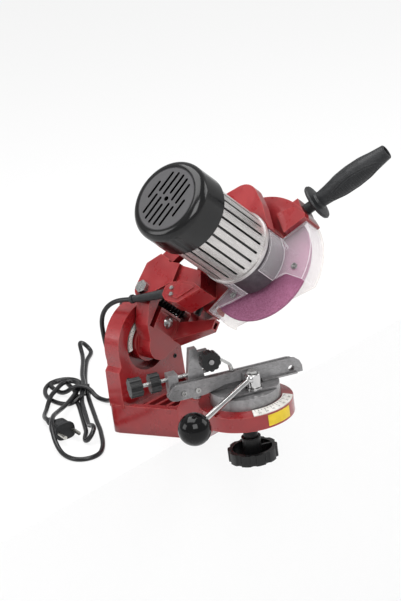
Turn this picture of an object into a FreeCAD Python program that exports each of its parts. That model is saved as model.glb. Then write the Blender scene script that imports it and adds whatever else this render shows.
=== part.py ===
import FreeCAD, Part
import os
import re
import Sketcher
from FreeCAD import Placement, Rotation, Vector

# Bench chain grinder: a cast base with a rotating chain vise on its table, a tilting
# bracket on its column, and a motor head that chops down on the chain.
# The origin is midway between the two bench bolts, on the bench top. +X is the
# operator's right, -Y is towards the operator and +Z is up.

doc = FreeCAD.newDocument("chain_grinder")
sheet = doc.addObject("Spreadsheet::Sheet", "Sizes")

sizes = {
    # clearances
    "seat": 0.3, "running": 0.05, "sliding": 0.4,
    # base casting
    "foot_height": 37.5, "foot_rear": 38, "foot_rear_half": 59, "foot_nose": 60, "foot_nose_half": 36,
    "foot_wall": 8, "foot_floor": 6, "pocket_depth": 6, "foot_corner": 9, "lip_drop": 8, "lip_width": 9,
    "bench_bolt_half": 29, "bench_bolt_bore": 4.5, "bench_slot": 8,
    "table_top": 55, "table_thick": 21.5, "table_radius": 57.5, "vise_reach": 143, "neck_half": 30,
    "column_front": 12, "column_thick": 24, "column_half": 51, "arch_radius": 52,
    "recess_radius": 36, "recess_depth": 12, "column_screw_x": 43, "column_screw_drop": 36,
    "scale_inner": 44.5, "scale_plate": 1, "scale_drop": 3, "rear_pocket": 8,
    # tilting bracket
    "head_tilt": 43, "tilt_axis_height": 103, "tilt_stud": 6, "boss_radius": 24, "hinge_r": 51, "hinge_y": 0,
    "bracket_front": -11, "bracket_back": 10, "ear_outer": 46, "ear_inner": 31, "ear_radius": 11,
    "lobe_radius": 20, "block_left": -23, "block_right": 17, "block_top": 40, "lock_radius": 29, "lock_bolt": 4,
    "axle_radius": 5, "channel_near": 17, "channel_far": 36, "channel_end": -62, "channel_wall": 2.5,
    "spring_wire": 1.25, "tilt_back": 43, "tilt_more": 3, "chop_travel": 21,
    # head casting and guards
    "wheel_y": -118.7, "wheel_r": 121.4, "wheel_radius": 72.5, "wheel_thick": 4.5, "wheel_bore": 11.15,
    "cover_radius": 85.5, "guard_radius": 82, "cover_near": 16, "cover_far": 10, "cover_wall": 4.5,
    "guard_wall": 2.4, "hub_radius": 42, "hub_wall": 4.5, "cheek_outer": 55, "cheek_inner": 46.5,
    "head_face": 50, "plate_back": 36, "arm_inner": 14, "box_near": 64, "box_far": 34,
    "cover_front_angle": 48, "cover_rear_angle": 241,
    # motor
    "motor_start": 54, "motor_length": 98, "motor_radius": 45.5, "motor_wall": 6, "cap_radius": 51,
    "cap_length": 45, "cap_round": 10.5, "cap_wall": 3, "vent_pitch": 8.5, "vent_half": 1.7,
    "vent_circle": 33, "vent_turn": 21, "shaft_radius": 7.5, "fin_count": 24,
    "bearing_radius": 16, "bearing_width": 11, "rotor_radius": 24, "stator_bore": 24.6,
    # handle
    "handle_angle": 46, "handle_x": -2, "handle_out": 128, "stem_radius": 7, "grip_radius": 14.5, "grip_length": 104,
    "disc_radius": 23,
    # vise
    "vise_turn": -30, "disc_seat": 43, "disc_thick": 18, "rail_left": 95, "rail_right": 75, "rail_low": 17,
    "rail_height": 20, "rail_thick": 4, "rail_gap": 1.8, "rail_y": 2, "lever_x": 7, "lever_y": -20,
    "hub_r": 8.75, "lever_length": 99.7, "lever_low": 5, "lever_high": 36, "lever_bearing": 204,
    "ball_radius": 20, "rod_radius": 3.6, "screw_r": 2.5, "screw_z": 41.5, "screw_y": 12, "stop_x": -56,
    "stop_top": 74, "pawl_z": 62, "knob_r": 12.4, "knob_wide": 11, "stud_radius": 6,
    # lock handwheel under the table
    "wheel_knob_radius": 30.5, "wheel_knob_low": -24, "wheel_knob_high": -10, "hub_top": 2,
    # cord
    "cord_radius": 3,
}

for row, (alias, value) in enumerate(sizes.items(), start=1):
    sheet.set(f"A{row}", alias)
    sheet.set(f"B{row}", str(value))
    sheet.setAlias(f"B{row}", alias)
doc.recompute()

nodes = {}


def formula(text):
    """An expression on the sheet: each size's name gets the sheet's name in front."""
    return re.sub(r"[a-z][a-z_]*[a-z]|[a-z]", lambda m: f"Sizes.{m[0]}" if m[0] in sizes else m[0], str(text))


def number(text):
    """The value of an expression, for edges and outlines that are worked out here."""
    return float(sheet.evalExpression(formula(text)))


def bind(thing, **properties):
    for prop, text in properties.items():
        thing.setExpression(prop, formula(text))
    return thing


def put(thing, at):
    for axis, text in zip("xyz", at):
        thing.setExpression(f"Placement.Base.{axis}", formula(text))
    return thing


turns = {"z": Rotation(), "x": Rotation(Vector(0, 1, 0), 90), "y": Rotation(Vector(1, 0, 0), -90)}


def box(x, y, z):
    """A block between two limits on each axis."""
    thing = doc.addObject("Part::Box", "Block")
    bind(thing, Length=f"({x[1]}) - ({x[0]})", Width=f"({y[1]}) - ({y[0]})", Height=f"({z[1]}) - ({z[0]})")
    return put(thing, (x[0], y[0], z[0]))


def cylinder(radius, length, at=(0, 0, 0), axis="z"):
    """A cylinder that starts at a point and runs along +X, +Y or +Z."""
    thing = doc.addObject("Part::Cylinder", "Cylinder")
    thing.Placement.Rotation = turns[axis]
    bind(thing, Radius=radius, Height=length)
    return put(thing, at)


def cone(radius_1, radius_2, length, at, axis="z"):
    thing = doc.addObject("Part::Cone", "Cone")
    thing.Placement.Rotation = turns[axis]
    bind(thing, Radius1=radius_1, Radius2=radius_2, Height=length)
    return put(thing, at)


def ball(radius, at):
    thing = doc.addObject("Part::Sphere", "Sphere")
    bind(thing, Radius=radius)
    return put(thing, at)


def outline(points, plane):
    """A closed sketch whose corners are held by expressions, on the XY, XZ or YZ plane."""
    sketch = doc.addObject("Sketcher::SketchObject", "Outline")
    rotation = {"XY": Rotation(), "XZ": Rotation(Vector(1, 0, 0), 90), "YZ": Rotation(Vector(1, 1, 1), 120)}
    sketch.Placement.Rotation = rotation[plane]
    spots = [Vector(number(u), number(v), 0) for u, v in points]
    count = len(spots)
    for k in range(count):
        sketch.addGeometry(Part.LineSegment(spots[k], spots[(k + 1) % count]))
    for k in range(count):
        sketch.addConstraint(Sketcher.Constraint("Coincident", k, 2, (k + 1) % count, 1))
    for k, pair in enumerate(points):
        for kind, text, place in zip(("DistanceX", "DistanceY"), pair, (spots[k].x, spots[k].y)):
            index = sketch.addConstraint(Sketcher.Constraint(kind, -1, 1, k, 1, place))
            sketch.setExpression(f"Constraints[{index}]", formula(text))
    return sketch


def prism(points, plane, start, end):
    """An outline carried from one height to another along its plane's normal."""
    sketch = outline(points, plane)
    normal = {"XY": Vector(0, 0, 1), "XZ": Vector(0, -1, 0), "YZ": Vector(1, 0, 0)}[plane]
    solid = doc.addObject("Part::Extrusion", "Extrusion")
    solid.Base = sketch
    solid.DirMode = "Custom"
    solid.Dir = normal
    solid.Solid = True
    bind(solid, LengthFwd=f"({end}) - ({start})")
    axis = {"XY": "z", "XZ": "y", "YZ": "x"}[plane]
    solid.setExpression(f"Placement.Base.{axis}", formula(end if plane == "XZ" else start))
    return solid


def spun(points, at=(0, 0, 0), axis="z"):
    """A lathe profile of (radius, height) corners turned once round its axis."""
    solid = doc.addObject("Part::Revolution", "Revolution")
    solid.Source = outline(points, "XZ")
    solid.Axis = Vector(0, 0, 1)
    solid.Angle = 360
    solid.Solid = True
    solid.Placement.Rotation = turns[axis]
    return put(solid, at)


def fuse(*things):
    """Several overlapping forms made one, with the seams between them removed."""
    solid = doc.addObject("Part::MultiFuse", "Union")
    solid.Shapes = list(things)
    solid.Refine = True
    return solid


def cut(thing, *tools):
    solid = doc.addObject("Part::Cut", "Cut")
    solid.Base = thing
    solid.Tool = tools[0] if len(tools) == 1 else fuse(*tools)
    solid.Refine = True
    return solid


def common(thing, tool):
    solid = doc.addObject("Part::MultiCommon", "Overlap")
    solid.Shapes = [thing, tool]
    solid.Refine = True
    return solid


def group(*things):
    """Separate solids kept in one node, such as a set of screws."""
    solid = doc.addObject("Part::Compound", "Group")
    solid.Links = list(things)
    return solid


def rounded(thing, radius, test):
    """Rounds each edge whose middle and direction pass the test."""
    doc.recompute()
    edges = []
    for index, edge in enumerate(thing.Shape.Edges, start=1):
        middle = edge.valueAt((edge.FirstParameter + edge.LastParameter) / 2)
        along = edge.tangentAt((edge.FirstParameter + edge.LastParameter) / 2)
        if test(middle, along, edge):
            edges.append((index, number(radius), number(radius)))
    solid = doc.addObject("Part::Fillet", "Fillet")
    solid.Base = thing
    solid.Edges = edges
    return solid


def upright(middle, along, edge):
    return abs(along.z) > 0.99


def piece(label, thing, frame=None):
    """Names a finished sub-part and sets it in its frame."""
    if thing.TypeId == "Part::Cylinder":
        thing = group(thing)
    if frame == "head":
        thing.Placement = Placement(Vector(0, 0, number("tilt_axis_height")), Rotation(Vector(0, 1, 0), 1))
        thing.setExpression("Placement.Base.z", "Sizes.tilt_axis_height")
        thing.setExpression("Placement.Rotation.Angle", "Sizes.head_tilt")
    elif frame == "vise":
        thing.Placement = Placement(Vector(0, 0, 0), Rotation(Vector(0, 0, 1), 1))
        thing.setExpression("Placement.Base.y", "-Sizes.vise_reach")
        thing.setExpression("Placement.Base.z", "Sizes.table_top")
        thing.setExpression("Placement.Rotation.Angle", "Sizes.vise_turn")
    elif frame:
        thing.Placement = frame
    thing.Label = label
    nodes[label] = thing
    return thing


# ---- base casting: a bench foot, a column, and a neck that carries the round table ----

foot = prism([("-foot_nose_half", "-foot_nose"), ("foot_nose_half", "-foot_nose"),
              ("foot_rear_half", "foot_rear - 14"), ("foot_rear_half", "foot_rear"),
              ("-foot_rear_half", "foot_rear"), ("-foot_rear_half", "foot_rear - 14")], "XY", 0, "foot_height")
foot = rounded(foot, "foot_corner", lambda m, a, e: upright(m, a, e) and m.y > 0)
lip = box(("4 - foot_nose_half", "foot_nose_half - 4"), ("-foot_nose", "lip_width - foot_nose"), ("-lip_drop", 1))

neck_side = prism([("4 - foot_nose", 0), ("42 - vise_reach", 6), ("17 - vise_reach", "table_top - table_thick"),
                   ("17 - vise_reach", "table_top"), ("73 - vise_reach", "table_top"),
                   ("84 - vise_reach", "foot_height"), ("4 - foot_nose", "foot_height")],
                  "YZ", "-foot_nose_half", "foot_nose_half")
neck_plan = prism([("-neck_half", "10 - vise_reach"), ("neck_half", "10 - vise_reach"),
                   ("foot_nose_half", "1 - foot_nose"), ("foot_nose_half", "12 - foot_nose"),
                   ("-foot_nose_half", "12 - foot_nose"), ("-foot_nose_half", "1 - foot_nose")],
                  "XY", -1, "table_top + 1")
neck = common(neck_side, neck_plan)
table = cylinder("table_radius", "table_thick", (0, "-vise_reach", "table_top - table_thick"))

column = fuse(
    prism([("2 - foot_rear_half", "foot_height - 4"), ("foot_rear_half - 2", "foot_height - 4"),
           ("column_half + 5", "tilt_axis_height - 22"), ("column_half", "tilt_axis_height - 17"),
           ("column_half", "tilt_axis_height"), ("-column_half", "tilt_axis_height"),
           ("-column_half", "tilt_axis_height - 17"), ("-column_half - 5", "tilt_axis_height - 22")],
          "XZ", "column_front", "column_front + column_thick"),
    cylinder("arch_radius", "column_thick", (0, "column_front", "tilt_axis_height"), "y"))

# hollows: the sunken top of the foot between its ribs, the open underside, the round
# recess for the bracket, and the pocket in the column's back
foot_hollow = [("foot_wall - foot_nose_half", "lip_width + 2 - foot_nose"),
               ("foot_nose_half - foot_wall", "lip_width + 2 - foot_nose"),
               ("foot_rear_half - foot_wall - 3", "column_front"), ("foot_wall + 3 - foot_rear_half", "column_front")]
pocket = prism(foot_hollow, "XY", "foot_height - pocket_depth", "foot_height + 1")
ribs = [box(("-foot_rear_half", "foot_rear_half"), (f"{y} - 2", f"{y} + 2"), (0, "foot_height + 2"))
        for y in (-38, -24, -10)]
pocket = cut(pocket, *ribs)
under = prism(foot_hollow, "XY", -1, "foot_height - pocket_depth - foot_floor")
bosses = [cylinder("bench_bolt_bore + 6.5", 60, (f"{side} * bench_bolt_half", 0, -2)) for side in (-1, 1)]
under = cut(under, *bosses)
bolt_slots = []
for side in (-1, 1):
    start, end = (f"{side} * bench_bolt_half - bench_slot / 2", f"{side} * bench_bolt_half + bench_slot / 2")
    bolt_slots += [cylinder("bench_bolt_bore", 60, (start, 0, -1)), cylinder("bench_bolt_bore", 60, (end, 0, -1)),
                   box((start, end), ("-bench_bolt_bore", "bench_bolt_bore"), (-1, 59))]
recess = cylinder("recess_radius", "recess_depth + 1", (0, "column_front - 1", "tilt_axis_height"), "y")
back_pocket = cut(
    fuse(cylinder("arch_radius - 7", "rear_pocket + 1",
                  (0, "column_front + column_thick - rear_pocket", "tilt_axis_height"), "y"),
         prism([("9 - foot_rear_half", 44), ("foot_rear_half - 9", 44), ("column_half - 6", "tilt_axis_height"),
                ("6 - column_half", "tilt_axis_height")], "XZ",
               "column_front + column_thick - rear_pocket", "column_front + column_thick + 1")),
    cylinder("tilt_stud + 7", 60, (0, "column_front", "tilt_axis_height"), "y"))
stud_bore = cylinder("tilt_stud + running", 60, (0, "column_front", "tilt_axis_height"), "y")


def arc_slot(radius, half, start, end, low, high):
    """A curved slot about the tilt axis, with round ends; angles run from the vertical towards +X."""
    depth = f"({high}) - ({low})"
    ring = doc.addObject("Part::Cylinder", "Sector")
    bind(ring, Radius=f"{radius} + {half}", Height=depth, Angle=f"({end}) - ({start})")
    ring.Placement.Rotation = turns["y"].multiply(Rotation(Vector(0, 0, 1), number(start) - 90))
    put(ring, (0, low, "tilt_axis_height"))
    band = cut(ring, cylinder(f"{radius} - {half}", depth, (0, low, "tilt_axis_height"), "y"))
    ends = [cylinder(half, depth, (f"{radius} * sin({angle})", low,
                                   f"tilt_axis_height + {radius} * cos({angle})"), "y")
            for angle in (start, end)]
    return fuse(band, *ends)


lock_slot = arc_slot("lock_radius", "(lock_bolt + running)", "head_tilt - tilt_back", "head_tilt + tilt_more",
                     "column_front", "column_front + column_thick + 1")
set_screw_holes = [cylinder(3.05, 40, (f"{side} * column_screw_x", "column_front - 1",
                                       "tilt_axis_height - column_screw_drop"), "y") for side in (-1, 1)]
table_hollow = cut(cylinder("table_radius - 7", "table_thick - 12",
                            (0, "-vise_reach", "table_top - table_thick - 0.01")),
                   cylinder("stud_radius + 9", 60, (0, "-vise_reach", 0)))
stud_hole = cylinder("stud_radius + running", 60, (0, "-vise_reach", 10))
bevel = common(
    spun([("scale_inner", "table_top + 5"), ("scale_inner", "table_top"),
          ("table_radius + 2", "table_top - scale_drop * 1.15"), ("table_radius + 2", "table_top + 5")],
         (0, "-vise_reach", 0)),
    box((-80, 80), ("-vise_reach - 80", "-vise_reach"), (0, 90)))
base = cut(fuse(foot, lip, neck, table, column), pocket, under, recess, back_pocket, stud_bore, lock_slot,
           table_hollow, stud_hole, bevel, *bolt_slots, *set_screw_holes)
piece("base_casting", base)


# ---- plates and screws on the base ----

def ring_sector(inner, outer, start, end, low, high):
    """Part of a flat ring about the tilt axis, with square ends."""
    ring = doc.addObject("Part::Cylinder", "Sector")
    bind(ring, Radius=outer, Height=f"({high}) - ({low})", Angle=f"({end}) - ({start})")
    ring.Placement.Rotation = turns["y"].multiply(Rotation(Vector(0, 0, 1), number(start) - 90))
    put(ring, (0, low, "tilt_axis_height"))
    return cut(ring, cylinder(inner, f"({high}) - ({low})", (0, low, "tilt_axis_height"), "y"))


piece("tilt_scale", ring_sector("boss_radius + 2", "boss_radius + 8.5", -96, -26,
                                "column_front + 1.5", "column_front + recess_depth"))
slope = "scale_drop * 1.15 / (table_radius + 2 - scale_inner)"
scale_cone = spun([("scale_inner + 0.5", f"table_top - 0.5 * {slope}"),
                   ("table_radius - 0.5", f"table_top - (table_radius - 0.5 - scale_inner) * {slope}"),
                   ("table_radius - 0.5",
                    f"table_top - (table_radius - 0.5 - scale_inner) * {slope} + scale_plate"),
                   ("scale_inner + 0.5", f"table_top - 0.5 * {slope} + scale_plate")], (0, "-vise_reach", 0))
scale_wedge = prism([(0, "-vise_reach"), (-60, "-vise_reach - 74"), (60, "-vise_reach - 74")], "XY", 0, 90)
piece("vise_scale", common(scale_cone, scale_wedge))


def hexagon(radius, depth, at, axis="z"):
    """A hexagonal prism, for nuts, bolt heads and sockets."""
    solid = doc.addObject("Part::Prism", "Hexagon")
    solid.Polygon = 6
    solid.Placement.Rotation = turns[axis]
    bind(solid, Circumradius=radius, Height=depth)
    return put(solid, at)


set_screws = []
for side in (-1, 1):
    spot = (f"{side} * column_screw_x", "column_front - 0.6", "tilt_axis_height - column_screw_drop")
    set_screws.append(cut(cylinder(3, 16, spot, "y"), hexagon(1.8, 5, spot, "y")))
piece("column_screws", group(*set_screws))


# ---- tilting bracket: in the head's frame, whose origin is on the tilt axis ----

bracket_plate = prism(
    [("-lobe_radius", -4), ("-lobe_radius + 4", -12), ("lobe_radius - 4", -12), ("lobe_radius", -4),
     ("channel_far", 18), ("ear_outer", 34), ("ear_outer", "hinge_r"), ("ear_inner", "hinge_r"), ("ear_inner", 26),
     ("block_right", 26), ("block_right", "block_top"), ("block_left", "block_top"), ("block_left", 12),
     ("-ear_inner", 12), ("-ear_inner", "hinge_r"), ("-ear_outer", "hinge_r"), ("-ear_outer", 34), (-34, 10)],
    "XZ", "bracket_front", "bracket_back")
ears = [cylinder("ear_radius", "ear_outer - ear_inner", (start, "hinge_y", "hinge_r"), "x")
        for start in ("ear_inner", "-ear_outer")]
lobe = cylinder("lobe_radius", "bracket_back - bracket_front", (0, "bracket_front", 0), "y")
boss = cylinder("boss_radius", "column_front + recess_depth - bracket_back - seat + 1", (0, "bracket_back - 1", 0), "y")
block_face = box(("block_left + 2.5", "block_right - 2"), ("bracket_front - 1", "bracket_front + 2"),
                 (14, "block_top - 2.5"))

# the channel arm reaches forward under the head; it is hollow, open at its end and along one side
channel_side = prism([("bracket_front + 1", 12), ("bracket_front + 1", 36), ("channel_end", 50),
                      ("channel_end", 36.5)], "YZ", "channel_near", "channel_far")
channel_plan = prism([("channel_near", "bracket_front + 2"), ("channel_far", "bracket_front + 2"),
                      ("channel_far - 6", "channel_end - 1"), ("channel_near + 3", "channel_end - 1")], "XY", 0, 60)
channel_room = common(
    prism([("bracket_front - 2", "14 + channel_wall"), ("bracket_front - 2", "36 - channel_wall"),
           ("channel_end - 1", "50 - channel_wall"), ("channel_end - 1", "36.5 + channel_wall")],
          "YZ", "channel_near", "channel_far"),
    prism([("channel_near + channel_wall", "bracket_front + 2"), ("channel_far - channel_wall", "bracket_front + 2"),
           ("channel_far - 6 - channel_wall", "channel_end - 2"),
           ("channel_near + 3 + channel_wall", "channel_end - 2")], "XY", 0, 60))
bracket = cut(fuse(bracket_plate, *ears, lobe, boss, common(channel_side, channel_plan)), channel_room, block_face,
              cylinder("axle_radius + running", 200, (-100, "hinge_y", "hinge_r"), "x"),
              cylinder("tilt_stud", 40, (0, "bracket_front + 7", 0), "y"),
              cylinder("lock_bolt", 60, (0, "bracket_front - 1", "lock_radius"), "y"))
piece("tilt_bracket", bracket, "head")

rear = "column_front + column_thick"
floor = "column_front + column_thick - rear_pocket"
stud = cylinder("tilt_stud", f"{rear} + 13 - bracket_front - 7", (0, "bracket_front + 7", 0), "y")
stud_nut = fuse(cylinder("tilt_stud + 5", 2, (0, rear, 0), "y"), hexagon(10.5, 10, (0, f"{rear} + 2", 0), "y"))
piece("tilt_stud", fuse(stud, stud_nut), "head")
lock_head = common(ball(11, (0, "bracket_front + 2 + 7", "lock_radius")),
                   cylinder(8, 20, (0, "bracket_front + 2 - 5", "lock_radius"), "y"))
lock_head = cut(lock_head, box((-12, 12), ("bracket_front + 2", "bracket_front + 40"), (10, 50)))
piece("tilt_lock_bolt", fuse(lock_head, cylinder("lock_bolt", f"{rear} + 26 - bracket_front",
                                                (0, "bracket_front + 1", "lock_radius"), "y")), "head")
piece("tilt_lock_washer", cut(cylinder(8.5, 2, (0, floor, "lock_radius"), "y"),
                              cylinder("lock_bolt", 4, (0, f"{floor} - 1", "lock_radius"), "y")), "head")


def lobed_knob(radius, depth, lobes, bite, at, axis):
    """A hand knob: a disc with a scallop between each two of its lobes."""
    disc = cylinder(radius, depth, at, axis)
    bites = []
    for k in range(lobes):
        angle = 360 * k / lobes
        across, up = f"({radius} + {bite} * 0.55) * cos({angle})", f"({radius} + {bite} * 0.55) * sin({angle})"
        spot = {"z": (f"{at[0]} + {across}", f"{at[1]} + {up}", f"{at[2]} - 1"),
                "y": (f"{at[0]} + {across}", f"{at[1]} - 1", f"{at[2]} + {up}"),
                "x": (f"{at[0]} - 1", f"{at[1]} + {across}", f"{at[2]} + {up}")}[axis]
        bites.append(cylinder(bite, f"{depth} + 2", spot, axis))
    return cut(disc, *bites)


lock_knob = cut(fuse(cylinder(8, 21, (0, f"{floor} + 2 + seat", "lock_radius"), "y"),
                     lobed_knob(19, 14, 6, 8, (0, f"{floor} + 22", "lock_radius"), "y")),
                cylinder("lock_bolt + running", 60, (0, floor, "lock_radius"), "y"))
piece("tilt_lock_knob", lock_knob, "head")

axle = fuse(cylinder("axle_radius", "2 * cheek_outer + 8", ("-cheek_outer - 1", "hinge_y", "hinge_r"), "x"),
            hexagon(8.5, 5, ("-cheek_outer - seat - 5", "hinge_y", "hinge_r"), "x"))
axle_nut = hexagon(8.5, 6, ("cheek_outer + seat", "hinge_y", "hinge_r"), "x")
piece("chop_axle", fuse(axle, axle_nut), "head")


def coil_spring(radius, wire, pitch, turns_made, frame):
    """A coil along +X about the chop axle, swept along a helix."""
    helix = doc.addObject("Part::Helix", "Helix")
    helix.Style = 1
    bind(helix, Radius=radius, Pitch=pitch, Height=f"{pitch} * {turns_made}")
    section = doc.addObject("Part::Circle", "WireSection")
    bind(section, Radius=wire)
    section.Placement.Rotation = Rotation(Vector(1, 0, 0), 90)
    section.setExpression("Placement.Base.x", formula(radius))
    sweep = doc.addObject("Part::Sweep", "Coil")
    sweep.Sections = [section]
    sweep.Spine = (helix, ["Edge1"])
    sweep.Solid = True
    sweep.Frenet = True
    return sweep


spring = coil_spring("axle_radius + seat + spring_wire", "spring_wire", 6, 8, "head")
spring_at = Placement(Vector(-24, number("hinge_y"), number("hinge_r")), turns["x"])
head_frame = Placement(Vector(0, 0, number("tilt_axis_height")),
                       Rotation(Vector(0, 1, 0), number("head_tilt")))
piece("return_spring", spring, head_frame.multiply(spring_at))


# ---- head casting: wheel cover, motor face, arm and hinge cheeks ----

def wheel_point(forward, up):
    """A point given from the wheel's centre, as (y, z) in the head's frame."""
    return (f"wheel_y - ({forward})", f"wheel_r + ({up})")


def about_wheel(radius, start, end):
    return cylinder(radius, f"({end}) - ({start})", (start, "wheel_y", "wheel_r"), "x")


def front_sector(start, end):
    """The open front and lower sector of the wheel, which the clear guard fills."""
    return prism([wheel_point(0, 0),
                  wheel_point("150 * cos(cover_front_angle)", "150 * sin(cover_front_angle)"),
                  wheel_point(190, 110), wheel_point(190, -190),
                  wheel_point("200 * cos(cover_rear_angle)", "200 * sin(cover_rear_angle)")], "YZ", start, end)


def tilted(thing, degrees, at):
    """Turns a form about X before it is put in its place."""
    thing.Placement.Rotation = Rotation(Vector(1, 0, 0), number(degrees))
    return put(thing, at)


drum = about_wheel("cover_radius", "-cover_near", "cover_far")
hub_ring = about_wheel("hub_radius + hub_wall", "-head_face", "-cover_near + 1")
hump = prism([(-153, 153), (-127.5, 184), (-96, 212), (-64, 187), (-62, 120), (-118, 100)],
             "YZ", "-head_face", "-plate_back")
hump = rounded(hump, 22, lambda m, a, e: abs(a.x) > 0.9 and m.z > 200)
arch = prism([(-64, 188), (-5, 99), (-16, 78), (-80, 172)], "YZ", "-head_face", "-plate_back - 4")
post = prism([(-7, 98), (10, 83), (13, "hinge_r"), (-13, "hinge_r"), (-20, 80), (-24, 92)],
             "YZ", "-cheek_outer", "-plate_back - 8")
arm = prism([(-16, 66.5), (-16, 91), (-74, 87), (-84, 66.5)], "YZ", "-head_face", "-arm_inner")
arm = rounded(arm, 5, lambda m, a, e: abs(a.x) > 0.9 and m.y > -50 and m.z > 80)
beam = box(("-cheek_outer", "cheek_outer"), (-42, -16), (64, 90))
cheeks = []
for start, end in (("-cheek_outer", "-cheek_inner"), ("cheek_inner", "cheek_outer")):
    cheeks.append(cylinder(13, f"({end}) - ({start})", (start, "hinge_y", "hinge_r"), "x"))
    cheeks.append(prism([(-42, 66), (-42, 90), (-14, 90), (9, 61), (8, 41), (-10, 42.5)], "YZ", start, end))
pad = prism([wheel_point(39, 36), wheel_point(59.5, 58), wheel_point(55, 68), wheel_point(34, 73),
             wheel_point(13.5, 61)], "YZ", "-cover_near - 8", "-cover_near + 1")
handle_lean = "90 - handle_angle"
handle_root = wheel_point(33.5, 76)
grip_boss = doc.addObject("Part::Box", "Block")
bind(grip_boss, Length="cover_far + 13 - handle_x", Width=24, Height=22)
tilted(grip_boss, handle_lean,
       ("handle_x - 13", f"{handle_root[0]} - 12 * cos({handle_lean}) + 17 * sin({handle_lean})",
        f"{handle_root[1]} - 12 * sin({handle_lean}) - 17 * cos({handle_lean})"))
grip_boss = cut(grip_boss, about_wheel("cover_radius - cover_wall - 4", -40, 40))
knuckle_relief = cylinder("ear_radius + 3", "2 * cheek_inner", ("-cheek_inner", "hinge_y", "hinge_r"), "x")
wheel_space = about_wheel("cover_radius - cover_wall", "cover_wall - cover_near", "cover_far + 1")
motor_seat = about_wheel("hub_radius", "-head_face - 1", "-cover_near + 10")
shell = cut(fuse(drum, hub_ring, hump, arch, post, arm, beam, pad, *cheeks), front_sector(-80, 80), wheel_space,
            motor_seat, knuckle_relief)
stop_bore = cylinder("4 + running", 80, (26, -26, 40))
stem_bore = tilted(cylinder("stem_radius - 2", 12), handle_lean, (
    "handle_x", f"{handle_root[0]} + 3 * sin({handle_lean})", f"{handle_root[1]} - 3 * cos({handle_lean})"))
head = cut(fuse(shell, grip_boss), stem_bore,
           cylinder("axle_radius + running", 200, (-100, "hinge_y", "hinge_r"), "x"), stop_bore)
piece("head_casting", head, "head")

stop_screw = fuse(cylinder(4, 48, (26, -26, 52.5)), lobed_knob(11, 10, 8, 4, (26, -26, 99), "z"))
piece("depth_stop_screw", stop_screw, "head")


# ---- motor ----

front = "-motor_start"
back = "-motor_start - motor_length"
bell = cut(about_wheel("hub_radius - seat", front, "-cover_near + 3"),
           about_wheel("bearing_radius", "-cover_near - 8 - bearing_width", "-cover_near - 8"),
           about_wheel("shaft_radius + 1", -60, 0), about_wheel("hub_radius - 8", "-motor_start - 1", "-motor_start + 14"))
piece("motor_front_bell", bell, "head")
piece("motor_flange", cut(about_wheel("motor_radius + 1.4", "-motor_start - 5", front),
                          about_wheel("motor_radius - motor_wall", -70, 0)), "head")

groove_depth = 3.2
housing = cut(about_wheel("motor_radius", back, "-motor_start - 5"),
              about_wheel("motor_radius - motor_wall", -200, 0))
grooves = []
for k in range(int(sizes["fin_count"])):
    angle = 360 * (k + 0.5) / sizes["fin_count"]
    if 188 < angle < 202:
        continue
    groove = doc.addObject("Part::Box", "Groove")
    bind(groove, Length="motor_length", Width=3, Height=8)
    groove.Placement.Rotation = Rotation(Vector(1, 0, 0), angle)
    put(groove, (f"{back} + 4", f"wheel_y - 1.5 * cos({angle}) - (motor_radius - {groove_depth}) * sin({angle})",
                 f"wheel_r - 1.5 * sin({angle}) + (motor_radius - {groove_depth}) * cos({angle})"))
    grooves.append(groove)
groove_limit = about_wheel("motor_radius + 20", f"{back} + 3", "-motor_start - 12")
piece("motor_housing", cut(housing, common(fuse(*grooves), groove_limit)), "head")

cap = spun([(0, 0), ("cap_radius", 0), ("cap_radius", "cap_length"), (0, "cap_length")],
           (f"{back} - cap_length", "wheel_y", "wheel_r"), "x")
cap = rounded(cap, "cap_round", lambda m, a, e: m.x < number(f"{back} - cap_length") + 1 and e.Length > 50)
cap_room = about_wheel("cap_radius - cap_wall", f"{back} - cap_length + 10", f"{back} - 4")
cap_mouth = about_wheel("motor_radius - motor_wall + 1", f"{back} - cap_length + 4", f"{back} + 1")
def vent(across, low, high):
    """A round-ended slot through the cap's face; the rows of slots lean by vent_turn."""
    lean = "vent_turn"
    start = f"{back} - cap_length - 1"
    slot = doc.addObject("Part::Box", "Vent")
    bind(slot, Length="cap_round + 20", Width="2 * vent_half", Height=f"({high}) - ({low})")
    slot.Placement.Rotation = Rotation(Vector(1, 0, 0), sizes["vent_turn"])
    put(slot, (start, f"wheel_y + (({across}) - vent_half) * cos({lean}) - ({low}) * sin({lean})",
               f"wheel_r + (({across}) - vent_half) * sin({lean}) + ({low}) * cos({lean})"))
    ends = [cylinder("vent_half", "cap_round + 20",
                     (start, f"wheel_y + ({across}) * cos({lean}) - ({end}) * sin({lean})",
                      f"wheel_r + ({across}) * sin({lean}) + ({end}) * cos({lean})"), "x")
            for end in (low, high)]
    return fuse(slot, *ends)


vents = []
for row in range(-3, 4):
    across = f"{row} * vent_pitch"
    reach = f"sqrt(vent_circle ^ 2 - ({across}) ^ 2)"
    if abs(row) == 3:
        vents.append(vent(across, f"-{reach} / 2", f"{reach} / 2"))
        continue
    gap = 9 if row == 0 else 3.5
    vents += [vent(across, f"-({reach})", -gap), vent(across, gap, reach)]
cap = cut(cap, cap_room, cap_mouth, fuse(*vents), about_wheel(3, f"{back} - cap_length - 1", f"{back} - 30"))
piece("motor_end_cap", cap, "head")

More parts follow.
